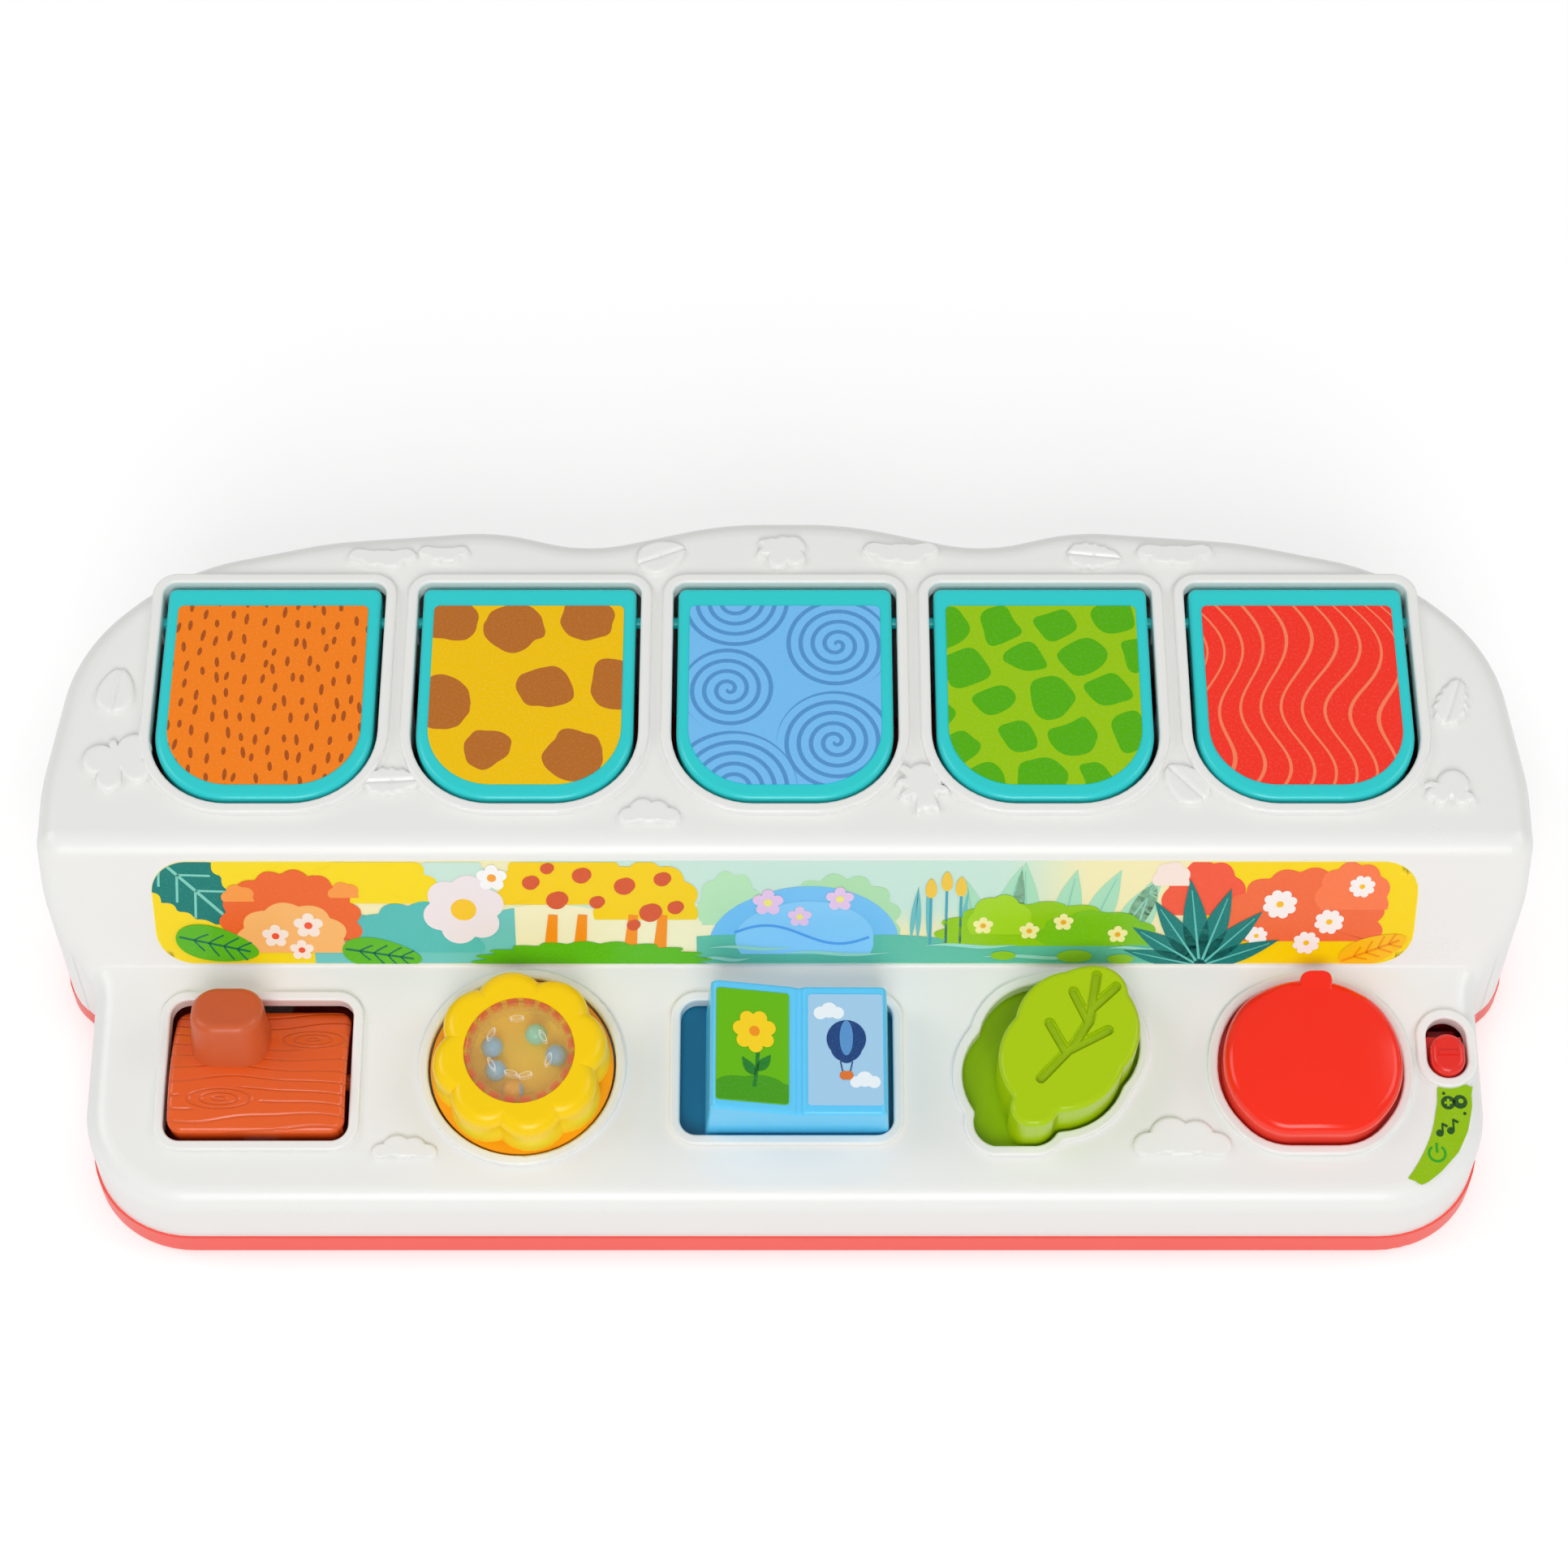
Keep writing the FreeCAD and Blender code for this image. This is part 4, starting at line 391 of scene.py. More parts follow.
LADYBIRD = [(0, 0, 4.6), (0, 1.6, 4.2), (0, -5.0, 2.4), (-5.3, 1.2, 1.0), (5.3, 1.2, 1.0),
            (-5.0, -2.6, 1.0), (5.0, -2.6, 1.0), (-4.2, 5.0, 1.0), (4.2, 5.0, 1.0),
            (-2.2, -7.0, 0.8), (2.2, -7.0, 0.8)]
BUTTERFLY = [(-4.4, 2.6, 4.1), (4.4, 2.6, 4.1), (-3.6, -3.6, 3.2), (3.6, -3.6, 3.2),
             (0, 0, 2.2), (0, 5.8, 1.2)]
BEE = [(0, 0, 3.4), (2.6, 0, 3.0), (-3.2, 0.2, 2.7), (-1.6, -3.8, 2.7), (3.0, -3.6, 2.4),
       (-5.8, -1.4, 0.9), (-5.4, 1.8, 0.8)]
SNAIL = [(0.8, 1.4, 4.0), (-2.6, -2.4, 1.9), (2.6, -2.6, 2.0), (-4.6, -1.2, 1.5),
         (-5.2, 1.2, 0.9), (4.8, -2.6, 1.1)]

for number, x, up, degrees in ((1, -160.3, -28.8, 84), (2, -30.2, 9.4, 22), (3, 94.7, -54.2, 132)):
    leaf = turned(leaf_outline(12.6, 9.2), degrees)
    raised(f"raised_leaf_{number}", REAR_DECK, (x, up), leaf, rib=degrees)
for number, x, up, degrees in ((1, -92.7, -53.8, 3), (2, 75.7, 9.4, -6), (3, 159.6, -31.9, 70)):
    leaf = turned(leaf_outline(13.6, 8.2, 5), degrees)
    raised(f"raised_oak_leaf_{number}", REAR_DECK, (x, up), leaf, rib=degrees)
for name, x, up, discs, degrees in (("butterfly", -157.7, -48.9, BUTTERFLY, 20),
                                    ("ladybird", 32.6, -54.6, LADYBIRD, 8),
                                    ("bee", -0.4, 12.0, BEE, 4),
                                    ("snail", 157.0, -56.0, SNAIL, 0)):
    shape = turned(discs_outline(discs), degrees)
    raised(f"raised_{name}", REAR_DECK, (x, up), shape, 1.6, 1.3)
for number, x, up, wide, high, degrees in ((1, -98.5, 9.6, 17, 5.6, 180),
                                           (2, -83.5, 10.6, 13, 4.6, 180),
                                           (3, 28.4, 11.2, 19, 6.4, 180),
                                           (4, 95.5, 10.8, 19, 6.0, 180),
                                           (5, -31.9, -63.2, 15, 6.8, 0)):
    cloud = turned(cloud_outline(wide, high), degrees)
    raised(f"raised_cloud_{number}", REAR_DECK, (x, up), cloud, 1.4, 0.9)
for number, x, up, wide, high in ((6, -89.0, -21.0, 15.8, 5.8), (7, 92.9, -19.4, 23.5, 9.8)):
    raised(f"raised_cloud_{number}", FRONT_DECK, (x, up), cloud_outline(wide, high), 1.3, 0.9)

# ------------------------------------ base tray
# A coral-red tray of the same plastic, screwed up into the casing from below.
# The battery door in its floor is moulded in the same colour, and the feet are soft rubber.

base_coral = moulded("base_coral", rgb(252, 92, 80), 0.36)
base_coral.dress("base_tray", "battery_door")
moulded("pad_rubber", rgb(40, 40, 42), 0.75, 2.5, specular=0.25).dress("foot_pads")

# ------------------------------------ shoulders
# Where the upper step's side turns in to the lower step, the walls of casing and tray run on
# round the corner. They are the same white and red plastic, part of the two mouldings, and the
# white one's top edge lies inside the fascia's wall.


def corner_wall(name, run, insets, low, tops, finish):
    """A short wall along a line in plan, at the left and at the right, in millimetres.
    Its front and back lie inset from the line, and each point of both has its own top."""
    count, last = len(run), 4 * (len(run) - 1)
    for side, mark in ((-1, "left"), (1, "right")):
        ring = []
        for inset, top in zip(insets, tops):
            x = side * (run[:, 0] - 0.666 * inset)
            y = run[:, 1] + 0.746 * inset
            edges = [stacked(x, y, low), stacked(x, y, top)]
            ring += edges if not ring else edges[::-1]
        faces = grid_faces(count, 4, True)[:, ::side].tolist()
        faces += [[0, 1, 2, 3][::-side], [last, last + 1, last + 2, last + 3][::side]]
        corners = np.stack(ring, axis=1).reshape(-1, 3) / 1000
        wall = make_piece(f"{name}_{mark}", corners, faces, finish, "case")
        wall.data.polygons.foreach_set("use_smooth", np.zeros(len(faces), dtype=bool))


white_run = np.array([(172.3, -19.6), (171.53, -20.37), (170.8, -21.0), (169.67, -22.03),
                      (168.9, -22.8), (168.1, -23.75), (167.4, -24.7), (166.8, -25.7)])
front_tops = np.array([39.2, 38.2, 36.6, 34.5, 32.7, 31.1, 29.4, 27.8])
back_tops = np.array([42.0, 41.0, 40.0, 37.7, 36.0, 34.0, 32.6, 31.4])
corner_wall("shoulder", white_run, (0.02, 1.3), 7.3, (front_tops, back_tops),
            casing_white)
red_run = np.array([(172.3, -19.7), (171.9, -20.0), (171.2, -20.65), (170.5, -21.2),
                    (169.4, -22.4), (168.4, -23.5), (167.8, -24.4), (167.4, -25.0)])
corner_wall("tray_corner", red_run, (0.02, 1.2), 2.0, np.full((2, 8), 7.1), base_coral)

# ------------------------------------ fascia print
# A long glossy sticker on the sloping face between the steps, with rounded corners.
# It is printed with a band of garden and pond: bushes, leaves, fruit, reeds and flowers.

FASCIA = (-24.221, 33.91, 65.8)  # depth, height and tilt, as for the decks
LABEL_THICK = 0.25
INK_STEP = 0.04
TEAL_VEIN = (130, 214, 196)
LEAF_INK = (92, 190, 26)
LEAF_VEIN = (10, 120, 84)
WHITE_INK = (255, 255, 255)

paper = Finish("fascia_paper", rgb(250, 243, 196), 0.22, specular=0.3)
across, up, _ = paper.slope(*FASCIA)
haze = paper.noise(paper.vector(across, up), 0.05, 2.0)
mint_side = across.inside(62.0, 12.0) * (1 - across.inside(-62.0, 8.0))
mint_sky = mint_side * (1 - up.inside(13.0, 5.0))
sky_tint = paper.blend(mint_sky, rgb(252, 243, 190), rgb(208, 238, 224))
paper.feed(Base_Color=sky_tint, Roughness=0.20 + haze * 0.05)
paper.dress("fascia_label")


def mound(width, high, bumps, depth):
    """A bush on the ground: half an ellipse whose edge is scalloped by a rectified sine."""
    angle = full_turn(160)
    reach = 1 + depth * np.abs(np.sin(angle * bumps / 2))
    up = np.sin(angle) * high * reach
    return stacked(np.cos(angle) * width * reach, np.maximum(up, -high * 0.4))


class Print:
    """Inks laid on a label, each shape a flat grid of points on a layer a hair above the last.
    The label is given by its middle, its half size and the radius of its corners."""

    def __init__(self, place, middle, half, corner):
        self.place = place
        self.middle = np.array(middle)
        self.inner = np.array(half) - corner
        self.corner = corner
        self.corners, self.faces, self.inks, self.count = [], [], [], 0

    def lay(self, points, faces, ink, layer):
        """Draws points back inside the rounded label, then keeps them with their faces and ink."""
        flat = points - self.middle
        core = np.clip(flat, -self.inner, self.inner)
        over = flat - core
        length = np.maximum(np.hypot(over[:, 0], over[:, 1]), 1e-9)[:, None]
        flat = core + over * np.minimum(1.0, self.corner / length)
        points = flat + self.middle
        height = LABEL_THICK + INK_STEP * layer
        self.corners.append(self.place(points[:, 0], points[:, 1], height))
        self.faces += (faces + self.count).tolist()
        self.inks.append(np.tile(rgb(*ink), (len(points), 1)))
        self.count += len(points)

    def patch(self, middle, outline, ink, layer):
        """A flat shape: each side of its outline makes a face with the middle."""
        step = np.arange(len(outline))
        faces = stacked(0, step + 1, (step + 1) % len(outline) + 1)
        self.lay(np.vstack([np.zeros((1, 2)), outline]) + np.array(middle), faces, ink, layer)

    def ribbon(self, spine, width, ink, layer):
        """A strip along a line of points, half its width to each side."""
        ahead = np.gradient(spine, axis=0)
        length = np.hypot(ahead[:, 0], ahead[:, 1])[:, None]
        aside = stacked(-ahead[:, 1], ahead[:, 0]) / length
        reach = aside * np.broadcast_to(width, (len(spine),))[:, None] / 2
        edges = np.concatenate([spine - reach, spine + reach])
        self.lay(edges, grid_faces(2, len(spine)), ink, layer)

    def blade(self, root, degrees, length, width, bend, ink, layer, vein=None):
        """A leaf blade: its spine is an arc from the root, and its width a sine along it.
        A vein may run along its middle."""
        share = np.linspace(0, 1, 25)
        heading = np.radians(degrees) + np.radians(bend) * share
        steps = stacked(np.cos(heading), np.sin(heading)) * length / 24
        spine = np.array(root) + np.cumsum(steps, axis=0) - steps[0]
        self.ribbon(spine, width * np.sin(np.pi * share ** 0.8) + 0.02, ink, layer)
        if vein:
            thin = 0.09 * width * (1.1 - share[2:22]) + 0.12
            self.ribbon(spine[2:22], thin, vein, layer + 1)

    def veined(self, middle, degrees, length, width, ink, vein, layer):
        """A broad leaf with a midrib and pairs of side veins that bend to the tip."""
        self.patch(middle, turned(leaf_outline(length, width), degrees), ink, layer)
        line = stacked(np.linspace(-0.46, 0.40, 16) * length, 0.0)
        self.ribbon(turned(line, degrees) + np.array(middle), 0.55, vein, layer + 1)
        for side in (-1, 1):
            for start in (-0.28, -0.10, 0.08, 0.24):
                run = np.linspace(0, 1, 10)
                x = length * (start + 0.15 * run)
                y = side * width * 0.36 * (1 - abs(start)) * run ** 0.85
                twig = turned(stacked(x, y), degrees) + np.array(middle)
                self.ribbon(twig, 0.42, vein, layer + 1)

    def band(self, start, end, low, high, ink, layer):
        """Ground or sky between two levels; the upper one may be an array along the label."""
        columns, rows = 121, 13
        across = np.linspace(start, end, columns)
        share = np.linspace(0, 1, rows)[:, None]
        levels = low * (1 - share) + high * share + 0 * across
        points = stacked(np.tile(across, rows), levels.reshape(-1))
        self.lay(points, grid_faces(rows, columns), ink, layer)

    def bushes(self, *bushes):
        """Mounds: each has its middle, half width, height, scallops and their depth, ink, layer."""
        for x, y, width, high, bumps, depth, ink, layer in bushes:
            self.patch((x, y), mound(width, high, bumps, depth), ink, layer)

    def flower(self, middle, petals, reach, size, ink, heart, layer):
        """Round petals about a round heart."""
        angle = full_turn(petals) + 0.3
        discs = [(np.cos(a) * reach, np.sin(a) * reach, size) for a in angle]
        self.patch(middle, discs_outline(discs + [(0, 0, reach * 0.9)]), ink, layer)
        self.patch(middle, discs_outline([(0, 0, size * 0.72)], 32), heart, layer + 1)

    def flowers(self, petals, share, ink, heart, layer, *flowers):
        """Flowers: each has its middle and reach, and petals whose radius is a share of that."""
        for x, y, reach in flowers:
            self.flower((x, y), petals, reach, reach * share, ink, heart, layer)

    def finish(self, name, ink_finish, body):
        """Makes the one mesh of all its shapes, with their inks in a colour attribute."""
        corners = np.concatenate(self.corners)
        made = make_piece(name, corners, self.faces, ink_finish, body)
        inks = made.data.color_attributes.new("ink", "FLOAT_COLOR", "POINT")
        inks.data.foreach_set("color", np.concatenate(self.inks).astype(np.float32).ravel())


ink = Finish("label_ink", (1.0, 1.0, 1.0, 1.0), 0.22, specular=0.3)
colour = ink.put("Attribute", {"attribute_name": "ink"}, {}, "Color")
x, y, z = ink.place()
dots = ink.noise(ink.vector(x, y, z), 2.2, 1.0)
ink.feed(Base_Color=ink.blend((dots - 0.5) * 0.12, colour, rgb(*WHITE_INK)),
         Roughness=0.18 + dots * 0.08)

garden = Print(on_slope(*FASCIA), (0.0, 15.4), (149.3, 14.4), 8.8)

# grounds: ends, lower and upper level, the upper one's swell and waves, ink, layer
wave = np.linspace(0, 1, 121)
for start, end, low, high, swell, waves, tint, layer in (
        (-150, -104, 0, 31, 0, 0, (255, 226, 20), 1),
        (98, 150, 0, 31, 0, 0, (255, 222, 0), 1),
        (-112, -64, 0, 15.5, 1.3, 14, (112, 205, 200), 2),
        (-64, -16, 5, 17, 1, 9, (252, 247, 205), 1),
        (-21, 104, 0, 8.8, 0.5, 22, (98, 196, 170), 4)):
    garden.band(start, end, low, high + swell * np.sin(wave * waves), tint, layer)

# left end: light bushes, an oak leaf with its veins, and an orange bush in flower
garden.bushes((-97, 22, 13.5, 9.5, 13, 0.14, (255, 226, 10), 4),
              (-78, 23, 9, 8, 9, 0.15, (208, 238, 224), 3),
              (-87, 8, 14, 9.5, 11, 0.15, (86, 196, 190), 5))
oak_middle, oak_turn, oak_long = np.array((-141, 24)), -48, 30
garden.patch(oak_middle, turned(leaf_outline(oak_long, 17, 7), oak_turn), (0, 128, 118), 2)
run = np.linspace(0, 1, 8)
for side in (1, -1):
    for start in (-0.3, -0.1, 0.1):
        twig = stacked(oak_long * (start + 0.18 * run), side * 5.6 * run)
        garden.ribbon(turned(twig, oak_turn) + oak_middle, 0.6, TEAL_VEIN, 3)
midrib = stacked(np.linspace(-13, 12, 12), 0.0)
garden.ribbon(turned(midrib, oak_turn) + oak_middle, 0.8, TEAL_VEIN, 3)
garden.bushes((-117, 13, 15.5, 13.5, 15, 0.10, (243, 106, 42), 6),
              (-117, 8, 12, 9.5, 9, 0.12, (255, 190, 110), 7),
              (-104, 21, 3.2, 2.8, 5, 0.2, (255, 160, 70), 7),
              (-129, 20, 3.4, 3.0, 5, 0.2, (255, 160, 70), 7))
garden.flowers(5, 0.62, (255, 240, 225), (250, 90, 50), 8,
               (-121, 9, 2.0), (-113, 12, 2.2), (-115, 5, 1.8))
garden.veined((-135, 6.5), -14, 20, 9.6, LEAF_INK, LEAF_VEIN, 8)
garden.veined((-96, 3.8), -10, 19, 8.4, LEAF_INK, LEAF_VEIN, 8)
garden.flower((-76, 16.5), 6, 5.6, 4.2, (246, 236, 240), (255, 206, 40), 6)
garden.flower((-69, 25.5), 5, 2.2, 1.5, WHITE_INK, (255, 170, 60), 8)

# two yellow trees with trunks and fruit, and the grass at their foot
garden.bushes((-52, 22, 15, 10.5, 12, 0.12, (255, 214, 0), 3),
              (-33, 18, 11.5, 11, 10, 0.12, (255, 214, 0), 4))
for x in (-55.5, -48.5, -36.5, -29.5):
    trunk = stacked(np.linspace(x - 0.8, x + 0.6, 12), np.linspace(-0.5, 15.0, 12))
    garden.ribbon(trunk, np.linspace(3.6, 2.2, 12), (255, 150, 20), 5)
for x, y, size in ((-60, 24, 1.9), (-54, 19, 2.4), (-48, 26, 2.1), (-44.5, 18.5, 1.7),
                   (-38, 23, 2.3), (-32, 15.5, 2.5), (-29, 25, 1.9), (-26, 17, 1.8),
                   (-56, 28, 1.5), (-36, 12, 1.5)):
    fruit = discs_outline([(0, 0, size), (size * 0.3, size * 0.2, size * 0.9)], 40)
    garden.patch((x, y), fruit, (222, 90, 46), 6)
garden.bushes((-46, 1.5, 25, 5.2, 21, 0.16, (92, 190, 16), 7))

# middle: pale bushes, a blue mound with flowers, and ripples on the pond
garden.bushes((13, 13, 13, 12, 13, 0.14, (182, 230, 180), 2),
              (-13, 16, 7, 10, 9, 0.14, (190, 236, 190), 2),
              (5, 6, 22, 16.5, 3, 0.05, (122, 200, 250), 3),
              (5, 8.0, 16, 10.5, 3, 0.05, (142, 212, 255), 5))
swell = 9.4 + 2.6 * np.sin(np.linspace(0.2, 6, 30))
garden.ribbon(stacked(np.linspace(-12, 20, 30), swell), 0.7, (88, 166, 240), 6)
garden.flowers(5, 0.62, (240, 205, 240), (250, 240, 130), 7,
               (-4, 18.5, 2.3), (13, 19.5, 2.1), (3.5, 14.5, 1.8))
run = np.linspace(0, 1, 40)
for x, y, length in ((-8, 5.6, 20), (12, 4.0, 26), (44, 6.2, 22), (60, 3.0, 26), (84, 5.4, 14),
                     (-14, 2.4, 12)):
    ripple = stacked(x + length * (run - 0.5), y + 0.35 * np.sin(run * 7))
    garden.ribbon(ripple, np.sin(np.pi * run) + 0.03, (160, 226, 208), 7)

# reeds with seed heads, and pale blades behind green bushes and lily pads
for x, y, bend in ((30, 8, -8), (31.5, 8, 4), (34, 8, 8), (42, 7, -6)):
    garden.blade((x, y), 88, 15, 1.2, bend, (110, 196, 200), 5)
for x, high in ((34.5, 21.0), (38.2, 23.0), (41.6, 21.5)):
    garden.ribbon(stacked(x, np.linspace(6, high, 8)), 0.6, (70, 170, 190), 6)
    garden.patch((x, high + 1.5), turned(leaf_outline(5.4, 2.6), 90), (250, 205, 70), 7)
for x, degrees, length in ((46, 105, 17), (52, 84, 21), (58, 98, 22), (66, 86, 20), (72, 74, 21),
                           (79, 64, 20), (83, 80, 18)):
    garden.blade((x, 8), degrees, length, 6.4, -8, (176, 230, 196), 2, (150, 214, 190))
garden.bushes((60, 9.5, 22, 8.4, 15, 0.12, (152, 208, 12), 6),
              (74, 9.0, 13, 6.6, 9, 0.12, (128, 200, 20), 7),
              (51, 12.5, 7, 7.5, 7, 0.12, (170, 220, 30), 8))
for middle in ((47, 12), (58, 10.5), (66, 13), (79, 9.5)):
    garden.flower(middle, 5, 1.5, 0.95, (255, 246, 170), (250, 180, 40), 9)
for x, y, size in ((69, 3.2, 4.2), (80, 2.4, 3.2), (52, 3.4, 3.0)):
    pad = discs_outline([(0, 0, size)], 48) * np.array((1.0, 0.42))
    garden.patch((x, y), pad, (150, 206, 40), 8)

# right end: red bushes in flower, a golden leaf, and a fan of dark teal blades
garden.bushes((99, 19, 9, 10.5, 9, 0.12, (250, 92, 60), 2),
              (91, 25, 4, 4.5, 7, 0.14, (255, 236, 225), 3),
              (123, 13, 17.5, 14, 15, 0.10, (248, 112, 62), 3),
              (134, 20, 8, 9, 9, 0.12, (255, 128, 76), 4))
garden.flowers(8, 0.42, (255, 250, 246), (255, 200, 20), 5,
               (117, 18, 2.9), (129, 13, 2.5), (136, 23, 2.2), (124, 7, 2.3), (112, 9, 1.9))
garden.veined((140, 5), 24, 17, 7.6, (255, 196, 10), (250, 150, 0), 6)
for degrees, length, width in ((166, 19, 4.4), (146, 20, 5.2), (122, 22, 5.6), (98, 25, 6.0),
                               (74, 23, 5.8), (48, 21, 5.4), (22, 20, 4.8)):
    garden.blade((99, 0.4), degrees, length, width, 0, (4, 128, 122), 8, (98, 200, 190))
garden.finish("fascia_garden", ink, "case")

# ------------------------------------ lids
# Five teal lids, each a thin moulded cap with a rolled edge and a rod across its heel.
# The rod turns in bearing blocks of the casing, behind each opening.

lid_teal = moulded("lid_teal", rgb(48, 214, 216), 0.24, specular=0.4)
lid_teal.dress(*[f"door_lid_{n}" for n in range(1, 6)])

# ------------------------------------ lid labels
# Vinyl stickers with a satin face, one on each lid, each printed in two inks.
# The patterns are fur strokes, round patches, curls, scales and waves.


def distance(*sides):
    """Length from its parts along each axis: the root of the sum of their squares."""
    total = sides[0] ** 2.0
    for side in sides[1:]:
        total = total + side ** 2.0
    return total ** 0.5


def sticker(number, paper_tint, print_tint):
    """Satin vinyl with a fine print grain, for one lid. It gives the finish, its places on
    the deck and a way to lay the print."""
    finish = Finish(f"sticker_{number}", paper_tint, 0.36, specular=0.18)
    across, up, _ = finish.slope(*REAR_DECK, bay=number - 3)

    def lay(mask):
        grain = finish.noise(finish.vector(across, up), 1.6, 1.0)
        tint = finish.blend(mask, paper_tint, print_tint)
        finish.feed(Base_Color=finish.blend((grain - 0.5) * 0.14, tint, rgb(*WHITE_INK)),
                    Roughness=0.32 + grain * 0.08)
        finish.dress(f"door_label_{number}")

    return finish, across, up, lay


# strokes: one small upright oval in each cell of a loose grid
fur, across, up, lay = sticker(1, rgb(255, 134, 26), rgb(176, 84, 22))
cell_wide, cell_tall = 3.6, 5.4
column = (across / cell_wide).floor()
rise = up / cell_tall + fur.random(column, 0.0, 1.0) * 3.0
row = rise.floor()
aside = (across / cell_wide - column - 0.5) - (fur.random(column, row, 2.0) - 0.5) * 0.62
along = (rise - row - 0.5) - (fur.random(column, row, 3.0) - 0.5) * 0.3
lean = aside + along * (fur.random(column, row, 4.0) - 0.5) * 0.5
half_tall = 0.20 + fur.random(column, row, 5.0) * 0.10
lay(((lean / 0.15) ** 2.0 + (along / half_tall) ** 2.0).inside(1.0, 0.12))

# patches: squarish rounds of unlike sizes
hide, across, up, lay = sticker(2, rgb(250, 200, 0), rgb(190, 112, 40))
wobble = (hide.noise(hide.vector(across, up), 0.12, 1.0) - 0.5) * 5.0
mask = 0.0
for x, y, wide, tall in ((-19.0, -9.5, 6.6, 6.0), (-3.5, -11.5, 7.2, 6.4), (14.5, -9.5, 6.8, 5.6),
                         (4.5, -28.5, 6.4, 6.0), (-19.5, -33.0, 6.2, 7.4),
                         (21.5, -28.0, 6.0, 6.8), (-8.5, -45.5, 6.2, 5.2),
                         (12.0, -47.0, 7.4, 6.6)):
    aside, along = (across + wobble - x) / wide, (up - wobble - y) / tall
    mask = (abs(aside) ** 2.15 + abs(along) ** 2.15).inside(1.0, 0.03).high(mask)
lay(mask)

# curls: arms of spirals, whose radius grows evenly with the turn
_, across, up, lay = sticker(3, rgb(122, 196, 250), rgb(86, 152, 212))
mask = 0.0
for x, y, reach, hand in ((-12.5, -4.0, 13.5, 1), (12.5, -16.5, 13.0, -1), (-13.5, -29.0, 11.5, 1),
                          (12.0, -43.5, 14.0, 1), (-12.5, -56.0, 15.5, -1)):
    aside, along = across - x, up - y
    radius = distance(aside, along)
    turn = (along * hand).angle(aside)
    arm = abs((radius / 2.9 - turn) % 1.0 - 0.5).inside(0.185, 0.03)
    mask = (arm * radius.inside(reach, 0.15)).high(mask)
lay(mask)

# scales: rounded squares on a slanting grid, of unlike sizes
scaly, across, up, lay = sticker(4, rgb(158, 206, 8), rgb(88, 182, 6))
cell_wide, cell_tall = 13.2, 11.8
slant = math.radians(27)
sway = scaly.noise(scaly.vector(across, up), 0.05, 1.0) * 14.0
first = (across * math.cos(slant) + up * math.sin(slant) + sway) / cell_wide
second = (up * math.cos(slant) - across * math.sin(slant) + sway * 0.6) / cell_tall
column = first.floor()
shift = second + column * 0.42
row = shift.floor()
size = 0.31 + scaly.random(column, row, 7.0) * 0.11
aside = abs((first - column - 0.5) / size) ** 3.4
along = abs((shift - row - 0.5) / (size + 0.02)) ** 3.4
lay((aside + along).inside(1.0, 0.06))

# waves: fine lines that sway along the lid, drawn together and apart
_, across, up, lay = sticker(5, rgb(255, 56, 40), rgb(255, 134, 96))
sway = (up * 0.16 + 0.6).sine() * 4.6 + (up * 0.07 + across * 0.05).sine() * 2.6
spread = 1.0 + 0.22 * (up * 0.11 + across * 0.06).sine()
lines = abs(((across + sway) * spread / 5.2) % 1.0 - 0.5)
lay(lines.inside(0.068, 0.02))

# ------------------------------------ animals
# Five small solid figures hang under the lids, face down while a lid is shut.
# Each is one satin moulding, with its face and ears sprayed through masks.


def animal(name, bay, coat, eyes, eye_size, *spots):
    """A coat with sprayed spots, each the part within a distance of a point, and eyes with a
    painted highlight, a white glint. Eyes and spots are given on one side and mirrored to the
    other."""
    finish = Finish(f"{name}_coat", coat, 0.42, specular=0.35)
    across, up, off = finish.slope(*REAR_DECK, bay)
    across = abs(across)
    grain = finish.noise(finish.vector(across, up, off), 0.5, 3.0)

    def spray(tint, x, y, z, reach, colour, blur=0.12):
        near = distance(across - x, up - y, off - z).inside(reach, blur)
        return finish.blend(near, tint, rgb(*colour))

    tint = coat
    for spot in spots:
        tint = spray(tint, *spot)
    x, y, z = eyes
    glint_shift = eye_size * 0.35
    tint = spray(tint, x, y, z, eye_size, (45, 30, 26))
    # a white dot up one side of each eye: a painted highlight
    tint = spray(tint, x + glint_shift, y - glint_shift, z - 0.2, eye_size * 0.32, WHITE_INK, 0.06)
    finish.feed(Base_Color=finish.blend((grain - 0.4) * 0.25, tint, coat),
                Roughness=0.36 + grain * 0.12)
    finish.bump(grain, 0.00004)
    finish.dress(f"figure_{name}")


PEACH = (255, 200, 140)
RUST = (214, 100, 50)
IVORY = (255, 250, 244)
animal("monkey", -2, rgb(240, 120, 50), (3.9, -40.6, -21.9), 1.5,
       (0, -33.5, -18.5, 6.9, PEACH), (3.6, -40.5, -20.5, 3.4, PEACH),
       (13.6, -38, -14.5, 3.2, (255, 190, 130)))
animal("giraffe", -1, rgb(252, 208, 20), (3.4, -41.4, -19.0), 1.3,
       (0, -35.5, -17.5, 5.8, (255, 236, 200)), (5.0, -45.0, -12.0, 2.6, RUST),
       (4.1, -48.6, -12.2, 1.9, RUST), (6.0, -20.0, -12.0, 3.0, RUST),
       (0.0, -12.0, -14.0, 3.4, RUST))
animal("elephant", 0, rgb(118, 190, 245), (4.6, -40.2, -21.4), 1.5,
       (14.2, -38, -14.0, 5.6, (240, 190, 232)), (7.0, -35.2, -19.0, 1.7, (245, 180, 215)))
animal("crocodile", 1, rgb(140, 205, 30), (5.4, -43.2, -19.6), 1.4,
       (5.4, -43.4, -19.0, 2.6, (250, 250, 235)), (3.0, -28.6, -24.6, 1.1, (70, 140, 10)),
       (7.0, -37.2, -19.6, 1.6, (245, 170, 190)))
